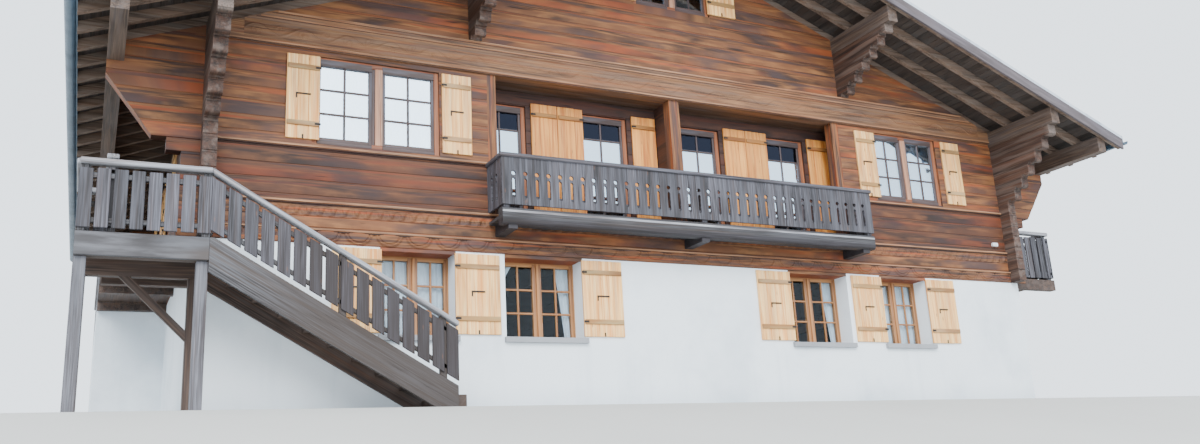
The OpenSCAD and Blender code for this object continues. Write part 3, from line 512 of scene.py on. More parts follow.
@dataclass(frozen=True)
class Cloth:
    """Thin white curtain cloth."""

    name: str = "curtain_cloth"
    body: Colour = tint(226, 232, 238)
    shade: Colour = tint(200, 208, 220)
    threads: float = 2400.0

    def build(self) -> Material:
        """Builds the material.

        Returns:
            A material with a fine weave of crossed threads, on the piece's own map in metres.
        """
        g = Graph(self.name)
        across, along, _ = g.grain_map()
        weft, warp = ((way * self.threads).math("SINE") * 0.5 + 0.5 for way in (across, along))
        weave = weft * warp
        soft = g.noise(g.join(across * 3.0, along * 3.0, 0.0), 1.0, 3.0)
        colour = g.blend(soft.smooth(0.3, 0.7) * 0.6 + weave * 0.2, self.body, self.shade)
        return g.surface(colour, 0.95, g.bump(weave, 0.0004), Subsurface_Weight=0.0, Sheen_Weight=0.2)


Finish = Wood | Mineral | Metal | Pane | Cloth


class Palette:
    """Every finish of the house."""

    log = Wood(
        "log", tint(54, 34, 23), tint(114, 70, 40), tint(160, 108, 64), tint(160, 72, 28),
        grey=tint(64, 48, 48), greying=0.75, streaks=0.6, cracks=0.85, relief=0.005, tones=(0.82, 1.12),
        # Painted shade: logs from 2.9 to 3.64 m high, level with the balcony's railing, are darkened all round.
        painted_shade_band=(2.9, 3.64, 0.85),
    )
    belt = Wood(
        "belt", tint(70, 46, 32), tint(122, 83, 54), tint(156, 115, 78), tint(140, 76, 38),
        grey=tint(108, 86, 72), greying=0.55, streaks=0.4, tones=(0.9, 1.08),
    )
    lip = Wood(
        "ledge", tint(92, 60, 40), tint(150, 106, 74), tint(190, 146, 108), tint(168, 98, 54),
        grey=tint(150, 124, 104), streaks=0.4, cracks=0.3, tones=(0.9, 1.06),
    )
    shade_log = Wood(
        "shaded_log", tint(32, 20, 17), tint(60, 34, 25), tint(86, 52, 36), tint(84, 38, 20),
        grey=tint(48, 36, 36), greying=0.4, cracks=0.7, tones=(0.75, 1.1),
    )
    # Painted shade: the boards of the first and attic floors are dark, for the shade of the unlit rooms.
    inner = Wood("inner_board", tint(62, 44, 32), tint(88, 64, 46), tint(112, 84, 60), tint(96, 62, 40))
    eave = Wood(
        "eave_timber", tint(54, 42, 36), tint(84, 68, 58), tint(112, 94, 80), tint(92, 66, 48),
        grey=tint(98, 90, 88), greying=0.35, streaks=0.25, tones=(0.86, 1.08), cracks=0.3,
    )
    soffit = Wood(
        "soffit_board", tint(38, 31, 28), tint(57, 48, 44), tint(77, 66, 59), tint(70, 51, 40),
        grey=tint(70, 66, 65), greying=0.4, streaks=0.25, cracks=0.3, tones=(0.88, 1.06),
    )
    rafter = Wood(
        "rafter", tint(72, 57, 48), tint(110, 91, 78), tint(138, 118, 102), tint(118, 84, 60),
        grey=tint(128, 118, 110), greying=0.35, streaks=0.3, cracks=0.3, tones=(0.92, 1.05),
    )
    verge = Wood(
        "verge_board", tint(58, 51, 52), tint(84, 76, 79), tint(108, 100, 104), tint(86, 70, 64),
        grey=tint(104, 98, 106), greying=0.4, streaks=0.2, cracks=0.5, tones=(0.95, 1.05),
    )
    console = Wood(
        "console", tint(40, 27, 23), tint(72, 50, 40), tint(102, 76, 61), tint(92, 54, 36),
        grey=tint(128, 116, 108), greying=0.25, lines=0.5, weather=(6.72, 7.05),
    )
    silver = Wood(
        "silver_board", tint(86, 82, 84), tint(130, 130, 135), tint(178, 180, 186), tint(118, 102, 92),
        grey=tint(156, 158, 166), greying=0.55, streaks=0.35, cracks=0.85, knots=0.2, tones=(0.74, 1.15),
    )
    board = Wood(
        "weathered_board", tint(34, 31, 34), tint(60, 58, 64), tint(108, 108, 118), tint(62, 47, 39),
        grey=tint(88, 89, 98), greying=0.5, streaks=0.4, cracks=0.9, knots=0.2, tones=(0.56, 1.28),
        # Its foot colour is painted shade on the stair's lower run.
        foot=tint(36, 26, 24),
    )
    side = Wood(
        "side_board", tint(42, 39, 40), tint(68, 66, 68), tint(108, 108, 113), tint(74, 58, 46),
        # Its foot colour is painted shade on the stair's lower run.
        grey=tint(90, 92, 98), greying=0.55, streaks=0.4, cracks=0.9, tones=(0.85, 1.1), foot=tint(52, 41, 34),
    )
    deck = Wood(
        "deck_beam", tint(34, 31, 32), tint(52, 50, 52), tint(86, 86, 91), tint(60, 46, 37),
        # Painted shade: the balcony deck's lower part and underside, from 2.4 to 2.71 m, are darkened.
        grey=tint(70, 71, 76), greying=0.5, streaks=0.4, cracks=0.9, tones=(0.9, 1.1), painted_shade_band=(2.4, 2.71, 0.9),
    )
    beam = Wood(
        "grey_beam", tint(58, 54, 57), tint(88, 86, 91), tint(128, 128, 136), tint(92, 72, 60),
        grey=tint(108, 110, 118), greying=0.55, streaks=0.35, cracks=0.85, tones=(0.8, 1.15), foot=tint(66, 52, 44),
    )
    dark = Wood(
        "dark_beam", tint(40, 30, 26), tint(72, 56, 48), tint(104, 84, 72), tint(92, 60, 42),
        grey=tint(84, 76, 74), greying=0.3, streaks=0.4,
    )
    pine = Wood(
        "pine", tint(208, 138, 70), tint(250, 192, 116), tint(255, 228, 166), tint(224, 138, 58),
        grey=tint(214, 182, 140), greying=0.35, streaks=0.55, knots=0.7, rough=0.6,
        relief=0.002, tones=(0.18, 1.1),
    )
    amber = Wood(
        "amber", tint(180, 104, 40), tint(222, 148, 66), tint(238, 178, 98), tint(196, 104, 38),
        greying=0.08, streaks=0.45, cracks=0.35, knots=0.6, rough=0.6, relief=0.002, tones=(0.32, 1.14),
    )
    honey = Wood(
        "honey", tint(132, 84, 46), tint(170, 118, 70), tint(196, 148, 98), tint(176, 108, 56),
        streaks=0.3, cracks=0.15, greying=0.1, rough=0.5, relief=0.0015, tones=(0.9, 1.08),
    )
    frame = Wood(
        "window_frame", tint(92, 48, 28), tint(140, 80, 46), tint(178, 114, 74), tint(156, 72, 34),
        grey=tint(146, 108, 84), streaks=0.4, cracks=0.2, greying=0.3, rough=0.55, relief=0.002,
    )
    post = Wood(
        "window_post", tint(130, 84, 60), tint(172, 124, 96), tint(206, 164, 136), tint(178, 112, 76),
        grey=tint(196, 166, 146), streaks=0.3, cracks=0.2, greying=0.4, rough=0.55, relief=0.002,
    )
    sash = Wood(
        "window_sash", tint(46, 32, 28), tint(74, 56, 52), tint(102, 88, 90), tint(84, 52, 38),
        grey=tint(96, 96, 108), streaks=0.3, cracks=0.2, greying=0.5, rough=0.5, relief=0.002,
    )
    # The blue cast of its white and stains is painted light: it stands in for blue sky light on walls in shade.
    render = Mineral("lime_render", tint(234, 241, 246), tint(198, 209, 218), foot=0.5, room=tint(34, 30, 29))
    stone = Mineral("sill_stone", tint(150, 152, 156), tint(112, 114, 118), grain=120.0)
    # Painted shade: the screed is dark, for the shade of the unlit ground-floor rooms.
    screed = Mineral("screed", tint(96, 88, 82), tint(70, 64, 60))
    tile = Mineral("roof_tile", tint(104, 96, 90), tint(66, 62, 60), rough=0.85, grain=40.0)
    gutter = Metal("gutter_sheet", tint(66, 88, 106), tint(50, 68, 84))
    trim = Metal("verge_sheet", tint(206, 212, 220), tint(166, 174, 184), metallic=0.6, rough=0.35)
    lamp = Metal("white_paint", tint(236, 238, 240), tint(206, 208, 210), rough=0.5)
    iron = Metal("black_iron", tint(40, 38, 38), tint(70, 58, 50), metallic=0.5, rough=0.6)
    sky_pane = Pane("upper_pane", 0.6, (0.74, 0.88, 1.0, 1))
    low_pane = Pane("ground_pane", 0.014, (0.9, 0.95, 1.0, 1))
    cloth = Cloth()


@cache
def dressed(finish: Finish, grain: Grain = Grain.ON_PIECE) -> Material:
    """The material of a finish, made the first time that it is asked for."""
    return finish.build(grain) if isinstance(finish, Wood) else finish.build()


def cells(grids: np.ndarray, axis: int = -1) -> np.ndarray:
    """The four corners of every cell of grids (n, s, k), side by side on a new axis."""
    return np.stack([grids[:, :-1, :-1], grids[:, :-1, 1:], grids[:, 1:, 1:], grids[:, 1:, :-1]], axis=axis)


def backed(y: np.ndarray, z: np.ndarray, back: float) -> tuple[np.ndarray, np.ndarray]:
    """Depths and heights of a face's rings (s, k), closed by two points at the depth of its back."""
    return np.pad(y, ((0, 0), (0, 2)), constant_values=back), np.concatenate([z, z[:, -1:], z[:, :1]], axis=1)


def girth(rings: np.ndarray) -> np.ndarray:
    """The way round closed rings (n, k, 3): 0, then the length up to each point and back to the first."""
    step = np.linalg.norm(np.roll(rings, -1, axis=1) - rings, axis=2)
    return np.concatenate([np.zeros((len(rings), 1)), np.cumsum(step, axis=1)], axis=1)


@dataclass
class Bundle:
    """Lofts that together are one piece, with a tone and grain coordinates for each."""

    name: str
    points: list[np.ndarray] = field(default_factory=list)
    loops: list[np.ndarray] = field(default_factory=list)
    counts: list[np.ndarray] = field(default_factory=list)
    maps: list[np.ndarray] = field(default_factory=list)
    tones: list[np.ndarray] = field(default_factory=list)
    total: int = 0

    def _take(self, points: np.ndarray, tones: np.ndarray) -> int:
        """Keeps points and their tones.

        Args:
            points: Points, with x, y and z on the last axis.
            tones: The tone of each.

        Returns:
            The number of the first one.
        """
        first = self.total
        self.points.append(points.reshape(-1, 3))
        self.tones.append(tones.reshape(-1))
        self.total += self.points[-1].shape[0]
        return first

    def _faces(self, corners: np.ndarray, maps: np.ndarray) -> None:
        """Keeps faces of one corner count.

        Args:
            corners: Numbers of the points round each face, on the last axis.
            maps: The map of each corner.
        """
        flat = corners.reshape(-1, corners.shape[-1])
        self.loops.append(flat.reshape(-1))
        self.counts.append(np.full(flat.shape[0], flat.shape[1]))
        self.maps.append(maps.reshape(-1, 2))

    def loft(
        self, rings: np.ndarray, along: Values, around: Values, tone: Values, caps: np.ndarray | None = None,
    ) -> None:
        """Closed solids whose skin runs through rings, with a flat face at each end.

        Args:
            rings: Points (n, s, k, 3): n solids, s rings in each, k points in each ring; or (s, k, 3).
            along: Map coordinate of each ring, (n, s) or (s,).
            around: Map coordinate of each point in a ring, with one more to close it.
            tone: One tone for each solid, or for all.
            caps: Map coordinates of the end faces (n, k, 2), where they are what shows.
        """
        rings = rings.reshape(-1, *rings.shape[-3:])
        n, s, k, _ = rings.shape
        turn = np.cross(rings[:, 0], np.roll(rings[:, 0], -1, axis=1)).sum(axis=1)
        way = rings[:, -1].mean(axis=1) - rings[:, 0].mean(axis=1)
        wrong = (turn * way).sum(axis=1) < 0
        rings = np.where(wrong[:, None, None, None], rings[:, :, ::-1], rings)
        first = self._take(rings, np.repeat(np.broadcast_to(tone, n), s * k))
        index = first + np.arange(n * s * k).reshape(n, s, k)
        u, v = np.broadcast_to(along, (n, s))[:, :, None], np.broadcast_to(around, (n, k + 1))[:, None]
        uv = np.stack(np.broadcast_arrays(u, v), axis=-1)
        self._faces(cells(np.concatenate([index, index[:, :, :1]], axis=2)), cells(uv, -2))
        for end, order in ((0, -1), (-1, 1)):
            flat = uv[:, end, :-1] if caps is None else np.where(wrong[:, None, None], caps[:, ::-1], caps)
            self._faces(index[:, end, ::order], flat[:, ::order])

    def bars(
        self, origin: Values, length: Values, width: Values, depth: Values, tone: Values, bevel: float = 0.006,
    ) -> None:
        """Straight bars with bevelled edges.

        Each bar is a box from origin along three vectors. A ring is the box's section with its
        corners cut by the bevel, and the end rings are drawn in by the same amount.

        Args:
            origin: One corner of each bar, (n, 3) or (3,) like the three vectors.
            length: Vector along each bar.
            width: Vector across it.
            depth: Vector through it.
            tone: Tone of each bar, or of all.
            bevel: Width of the cut edges in metres.
        """
        vectors = (np.atleast_2d(np.asarray(v, float)) for v in (origin, length, width, depth))
        origin, length, width, depth = np.broadcast_arrays(*vectors)
        n = len(origin)
        tone = np.broadcast_to(tone, n)
        reach, wide, deep = (np.linalg.norm(v, axis=1, keepdims=True) for v in (length, width, depth))
        b_w, b_d, b_l = bevel / wide, bevel / deep, bevel / reach
        zero, one = np.zeros((n, 1)), np.ones((n, 1))
        s = np.hstack([b_w, one - b_w, one, one, one - b_w, b_w, zero, zero])
        t = np.hstack([zero, zero, b_d, one - b_d, one, one, one - b_d, b_d])
        inner_s, inner_t = b_w + (1 - 2 * b_w) * s, b_d + (1 - 2 * b_d) * t
        stations = np.stack([zero, b_l, one - b_l, one], axis=1)
        ss = np.stack([inner_s, s, s, inner_s], axis=1)[..., None]
        tt = np.stack([inner_t, t, t, inner_t], axis=1)[..., None]
        rings = (
            origin[:, None, None] + stations[..., None] * length[:, None, None]
            + ss * width[:, None, None] + tt * depth[:, None, None]
        )
        seed = tone[:, None] * 17.0 + np.arange(n)[:, None] * 0.731
        self.loft(rings, stations[:, :, 0] * reach + seed, girth(rings[:, 1]) + seed, tone)

    def blocks(
        self, corner: Values, size: Sequence[float], tone: Values, bevel: float = 0.006, order: str = "",
        side: Side | None = None,
    ) -> None:
        """Bars that run along the axes of the model or of a wall.

        Args:
            corner: Corner of each bar.
            size: How far each runs from it along x, y and z.
            tone: Tone of each bar, or of all.
            bevel: Width of the cut edges in metres.
            order: Axes along the fibres, across and through them; else the longer of x and z goes first.
            side: The wall whose frame holds the corner and the axes.
        """
        order = order or ("zxy" if size[2] > abs(size[0]) else "xzy")
        axes = dict(zip("xyz", np.diag(size) @ (side.axes() if side else np.eye(3))))
        self.bars(side.place(corner) if side else corner, *(axes[axis] for axis in order), tone, bevel)

    def slabs(
        self, outlines: Values, origin: Values, right: np.ndarray, up: np.ndarray, through: np.ndarray, tone: Values,
    ) -> None:
        """Flat slabs cut to an outline: each point is origin + a * right + b * up, twice, through apart.

        Args:
            outlines: Points (n, k, 2) of each outline in metres.
            origin: Corner of each slab, (n, 3) or (3,).
            right: Unit vector of the outline's first coordinate.
            up: Unit vector of its second coordinate.
            through: Vector through the slab.
            tone: Tone of each slab, or of all.
        """
        outlines = np.asarray(outlines)
        face = np.atleast_2d(origin)[:, None] + outlines[..., :1] * right + outlines[..., 1:] * up
        seed = np.broadcast_to(tone, len(face))[:, None] * 17.0
        along = np.array([0.0, np.linalg.norm(through)]) + seed
        caps = outlines[..., ::-1] + seed[..., None]
        self.loft(np.stack([face, face + through], axis=1), along, girth(face) + seed, tone, caps)

    def sheet(self, points: np.ndarray, maps: np.ndarray) -> None:
        """One open sheet.

        Args:
            points: A grid of points (r, c, 3).
            maps: The map of each point (r, c, 2).
        """
        r, c, _ = points.shape
        index = self._take(points, np.full(r * c, 0.5)) + np.arange(r * c).reshape(1, r, c)
        self._faces(cells(index), cells(maps[None], -2))

    def build(self, finish: Finish, slot: str, *nodes: str, smooth: bool = False) -> bpy.types.Object:
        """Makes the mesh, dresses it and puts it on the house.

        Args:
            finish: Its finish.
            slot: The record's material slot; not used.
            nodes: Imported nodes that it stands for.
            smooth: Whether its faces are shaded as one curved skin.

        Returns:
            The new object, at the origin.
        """
        mesh = bpy.data.meshes.new(self.name)
        loops, counts = np.concatenate(self.loops), np.concatenate(self.counts)
        mesh.vertices.add(self.total)
        mesh.vertices.foreach_set("co", np.concatenate(self.points).astype(np.float32).ravel())
        mesh.loops.add(len(loops))
        mesh.loops.foreach_set("vertex_index", loops.astype(np.int32))
        mesh.polygons.add(len(counts))
        mesh.polygons.foreach_set("loop_start", np.concatenate([[0], np.cumsum(counts)[:-1]]).astype(np.int32))
        mesh.update(calc_edges=True)
        layer = mesh.uv_layers.new(name="grain")
        layer.data.foreach_set("uv", np.concatenate(self.maps).astype(np.float32).ravel())
        tones = mesh.attributes.new("tone", "FLOAT", "POINT")
        tones.data.foreach_set("value", np.concatenate(self.tones).astype(np.float32))
        mesh.polygons.foreach_set("use_smooth", np.full(len(counts), smooth))
        mesh.materials.append(dressed(finish))
        piece = bpy.data.objects.new(self.name, mesh)
        bpy.context.collection.objects.link(piece)
        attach(piece, "root")
        if nodes:
            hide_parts(*nodes)
        LOG.info("%s: %d points, %d faces", self.name, self.total, len(counts))
        return piece


@dataclass(frozen=True)
class Opening:
    """A window or door in a wall's own frame: its middle, foot, width and height."""

    x: float
    z: float
    w: float
    h: float

    @property
    def left(self) -> float:
        """Left edge."""
        return self.x - self.w / 2

    @property
    def right(self) -> float:
        """Right edge."""
        return self.x + self.w / 2

    @property
    def top(self) -> float:
        """Upper edge."""
        return self.z + self.h


@dataclass(frozen=True)
class Bay:
    """A bay of the loggia: window, pair of shutters, second window and one shutter, from left to right."""

    start: float
    end: float
    lead: float
    first_w: float = 0.85
    second_w: float = 0.925
    clear: float = 0.085
    lap: float = 0.11
    gap: float = 0.005
    rest: float = 0.01

    @property
    def leaf_w(self) -> float:
        """Width of one shutter: a third of what the windows leave."""
        windows = self.first_w + self.second_w + 2 * self.clear - self.lap
        return (self.end - self.start - self.lead - windows - self.gap - self.rest) / 3

    @property
    def pair(self) -> float:
        """Left edge of the pair of shutters."""
        return self.start + self.lead + self.first_w + self.clear

    @property
    def windows(self) -> list[Opening]:
        """Its two French windows.

        Returns:
            The left one and the right one.
        """
        second = self.pair + 2 * self.leaf_w + self.gap - self.lap
        places = ((self.start + self.lead, self.first_w), (second, self.second_w))
        return [Opening(left + w / 2, HOUSE.first_z, w, 2.09) for left, w in places]


def in_row(z: float, h: float, *places: tuple[float, float]) -> list[Opening]:
    """Openings of one foot and height, from the middle and the width of each."""
    return [Opening(x, z, w, h) for x, w in places]


class Openings:
    """Where the windows and doors are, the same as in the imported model."""

    wide = in_row(1.08, 1.18, (-2.52, 1.24), (2.52, 1.24))
    slim = in_row(1.08, 1.18, (-4.415, 1.08), (4.415, 1.08))
    ground = {
        Side.FRONT: wide + slim, Side.BACK: wide + slim,
        Side.RIGHT: in_row(1.08, 1.18, (-2.75, 1.08), (2.75, 1.08)),
    }
    first = {
        Side.FRONT: in_row(3.7, 1.29, (-4.99, 1.81), (4.86, 1.6)),
        Side.BACK: in_row(3.7, 1.29, *((s * 4.99 * share, 1.81) for share in (1, 1 / 3) for s in (-1, 1))),
        Side.LEFT: in_row(3.7, 1.29, (-2.75, 1.6), (0.0, 1.6)),
        Side.RIGHT: in_row(3.7, 1.29, (2.75, 1.6), (0.0, 1.6)),
    }
    attic = {Side.FRONT: Opening(0.045, 6.72, 1.5, 0.8), Side.BACK: Opening(0.0, 6.72, 1.5, 0.8)}
    door = {Side.LEFT: Opening(3.35, 2.75, 0.95, 2.0), Side.RIGHT: Opening(-3.35, 2.75, 0.95, 2.0)}
    bays = (Bay(-3.46, -0.165, 0.095), Bay(-0.025, 3.46, 0.28))
    loggia = [win for bay in bays for win in bay.windows]


def level(x: float) -> Ends:
    """An end that is upright at x."""
    return lambda z: np.full_like(z, x)


@dataclass(frozen=True)
class LogWall:
    """Hewn logs of one wall, laid course by course and cut round its openings."""

    side: Side
    low: float
    high: float
    left: Ends
    right: Ends
    openings: Sequence[Opening] = ()
    inset: float = 0.0
    thick: float = HOUSE.log_t
    seed: int = 1
    joint: float = 0.011
    swell: float = 0.004
    wander: float = 0.005
    ring_step: float = 0.28
    least: float = 0.01

    def courses(self) -> np.ndarray:
        """Heights of the joints."""
        n = max(1, round((self.high - self.low) / HOUSE.log_h))
        return np.linspace(self.low, self.high, n + 1)

    def drift(self, number: int, x: np.ndarray) -> np.ndarray:
        """How far a joint strays from its height: two slow waves, and nothing at foot and head.

        Args:
            number: Number of the joint, from the foot.
            x: Places along the wall.

        Returns:
            How much higher the joint is at each place.
        """
        if number in (0, len(self.courses()) - 1):
            return np.zeros_like(x)
        a, b = np.random.default_rng(self.seed * 97 + number).uniform(0, 6.28, 2)
        return self.wander * (0.6 * np.sin(1.3 * x + a) + 0.4 * np.sin(3.1 * x + b))

    def segment(self, bundle: Bundle, number: int, left: Ends, right: Ends, low: float, high: float) -> None:
        """One length of a log.

        The ring's face rises in seven points: drawn back at the lower joint, swollen in the middle,
        and rippled by slow waves along the log. Its back is flat. Points are clipped to the
        given heights, and x runs from the left to the right end at the height of each point.

        Args:
            bundle: Takes the log.
            number: Number of its course, from the foot.
            left: Its left end.
            right: Its right end.
            low: Its foot.
            high: Its head.
        """
        joints = self.courses()
        rise = np.array([0.0, 0.045, 0.2, 0.5, 0.8, 0.96, 1.0])
        face = np.array([self.joint, 0.002, -0.6 * self.swell, -self.swell, -0.6 * self.swell, 0.0, 0.002])
        below, halfway = np.array([low]), np.array([(low + high) / 2])
        span = float(abs(right(below) - left(below))[0])
        s = np.linspace(0, 1, max(3, int(span / self.ring_step) + 2))[:, None]
        middle = left(halfway) * (1 - s) + right(halfway) * s
        foot = joints[number] + self.drift(number, middle)
        head = joints[number + 1] + self.drift(number + 1, middle)
        floor = low if low > joints[number] + 1e-6 else -np.inf
        ceiling = high if high < joints[number + 1] - 1e-6 else np.inf
        z = np.clip(foot + (head - foot) * rise, floor, ceiling)
        a, b, c = np.random.default_rng(self.seed * 131 + number).uniform(0, 6.28, 3)
        ripple = 0.0022 * np.sin(2.3 * middle + a) + 0.0014 * np.sin(5.7 * middle + b + 3 * rise)
        ripple = ripple + 0.001 * np.sin(11 * middle + c)
        y, z = backed(face + ripple, z, self.thick)
        rings = self.side.place(at(left(z) * (1 - s) + right(z) * s, y + self.inset, z))
        around = np.append(z[0], z[0, 0] - 0.2) + number * 0.61
        tones = np.random.default_rng(self.seed).beta(2.2, 2.2, len(joints))
        bundle.loft(rings, middle[:, 0] + 13.7 * number, around, tones[number])

    def build(self, bundle: Bundle) -> None:
        """Lays every log of the wall.

        Args:
            bundle: Takes the logs.
        """
        for k, (low, high) in enumerate(pairwise(self.courses())):
            cuts = [o for o in self.openings if o.z < high - self.least / 2 and o.top > low + self.least / 2]
            start = self.left
            for cut in sorted(cuts, key=lambda o: o.left):
                self.segment(bundle, k, start, level(cut.left), low, high)
                for foot, head in ((low, cut.z), (cut.top, high)):
                    if head > foot + self.least:
                        self.segment(bundle, k, level(cut.left), level(cut.right), foot, head)
                start = level(cut.right)
            self.segment(bundle, k, start, self.right, low, high)


@dataclass(frozen=True)
class Wing:
    """The logs that run on past a corner and step out to carry the flying purlin."""

    side: Side
    sign: int
    seed: int
    least: float = 0.004

    def bands(self) -> list[tuple[float, float, Ends]]:
        """The bands between the steps.

        Returns:
            Foot, head and outer end of each band, from the lowest one up.
        """
        h = HOUSE
        foot = h.half_w + h.log_end
        tip = float(h.soffit(h.flying_x)) - h.purlin_h
        z1, z2 = h.wing_z + h.wing_step, h.wing_z + 2 * h.wing_step
        z3, z4 = tip - h.wing_step, tip + h.purlin_h

        def slant(z: np.ndarray) -> np.ndarray:
            """Straight line from the second step to the tip."""
            start, share = foot + 2 * h.wing_step, (z - z2) / (z3 - z2)
            return self.sign * (start + share * (h.flying_x - start))

        return [
            (h.masonry_h, z1, level(self.sign * foot)),
            (z1, z2, level(self.sign * (foot + h.wing_step))),
            (z2, z3, slant),
            (z3, z4, level(self.sign * h.flying_x)),
            (z4, h.plate_z - 0.005, h.gable(self.sign)),
        ]

    def build(self, bundle: Bundle) -> None:
        """Lays each course of the wall, cut at the steps.

        Args:
            bundle: Takes the logs.
        """
        h = HOUSE
        root = level(self.sign * (h.half_w - h.clear))
        for low, high in pairwise((h.masonry_h, h.first_z, h.belt_z, h.plate_z)):
            wall = LogWall(self.side, low, high, root, root, seed=self.seed, wander=0.0)
            for k, (foot, head) in enumerate(pairwise(wall.courses())):
                for start, stop, end in self.bands():
                    z0, z1 = max(foot, start), min(head, stop)
                    if z1 - z0 > self.least:
                        wall.segment(bundle, k, *((end, root) if self.sign < 0 else (root, end)), z0, z1)


class LogBody:
    """All log walls of the house."""

    def build(self) -> None:
        """One piece for each wall, and one for the wings."""
        h, o, front, back = HOUSE, Openings, Side.FRONT, Side.BACK
        jamb, top, side_top = h.loggia_half + h.end_post_w, float(h.soffit(0.0)) - h.clear, h.plate_z - h.purlin_h
        storey, gable = (h.first_z, h.belt_z), (h.gable(-1), h.gable(1))
        west, east = level(-h.half_w), level(h.half_w)
        depth = (level(-h.half_d + h.log_t), level(h.half_d - h.log_t))
        room = (level(-h.room_half), level(h.room_half))
        for name, node, *walls in (
            ("front_sill_logs", "front_sill_logs", LogWall(front, h.masonry_h, h.first_z, west, east, seed=3)),
            ("front_logs_left", "front_left_wall",
             LogWall(front, *storey, west, level(-jamb), o.first[front][:1], seed=5)),
            ("front_logs_right", "front_right_wall",
             LogWall(front, *storey, level(jamb), east, o.first[front][1:], seed=6)),
            ("loggia_logs", "loggia_back_wall",
             LogWall(front, *storey, *room, o.loggia, inset=h.loggia_depth, thick=0.14, seed=7)),
            ("front_gable_logs", "front_gable_wall",
             LogWall(front, h.gable_z, top, *gable, [o.attic[front]], seed=8)),
            ("back_logs", "back_wall",
             LogWall(back, h.masonry_h, h.plate_z, west, east, o.first[back], seed=9),
             LogWall(back, h.plate_z, h.gable_z, *gable, seed=10)),
            ("back_gable_logs", "back_gable_wall",
             LogWall(back, h.gable_z, top, *gable, [o.attic[back]], seed=11)),
            *((f"{name}_logs", f"{name}_wall",
               LogWall(side, h.masonry_h, side_top, *depth, [*o.first[side], o.door[side]], seed=seed))
              for name, side, seed in (("left", Side.LEFT, 12), ("right", Side.RIGHT, 13))),
        ):
            bundle = Bundle(name)
            for wall in walls:
                wall.build(bundle)
            bundle.build(Palette.shade_log if walls[0].inset else Palette.log, "log_timber", node)
        wings = Bundle("wing_logs")
        for k, side in enumerate((front, back)):
            for sign in (-1, 1):
                Wing(side, sign, 21 + 2 * k + sign).build(wings)
        wings.build(Palette.log, "log_timber", "wings")


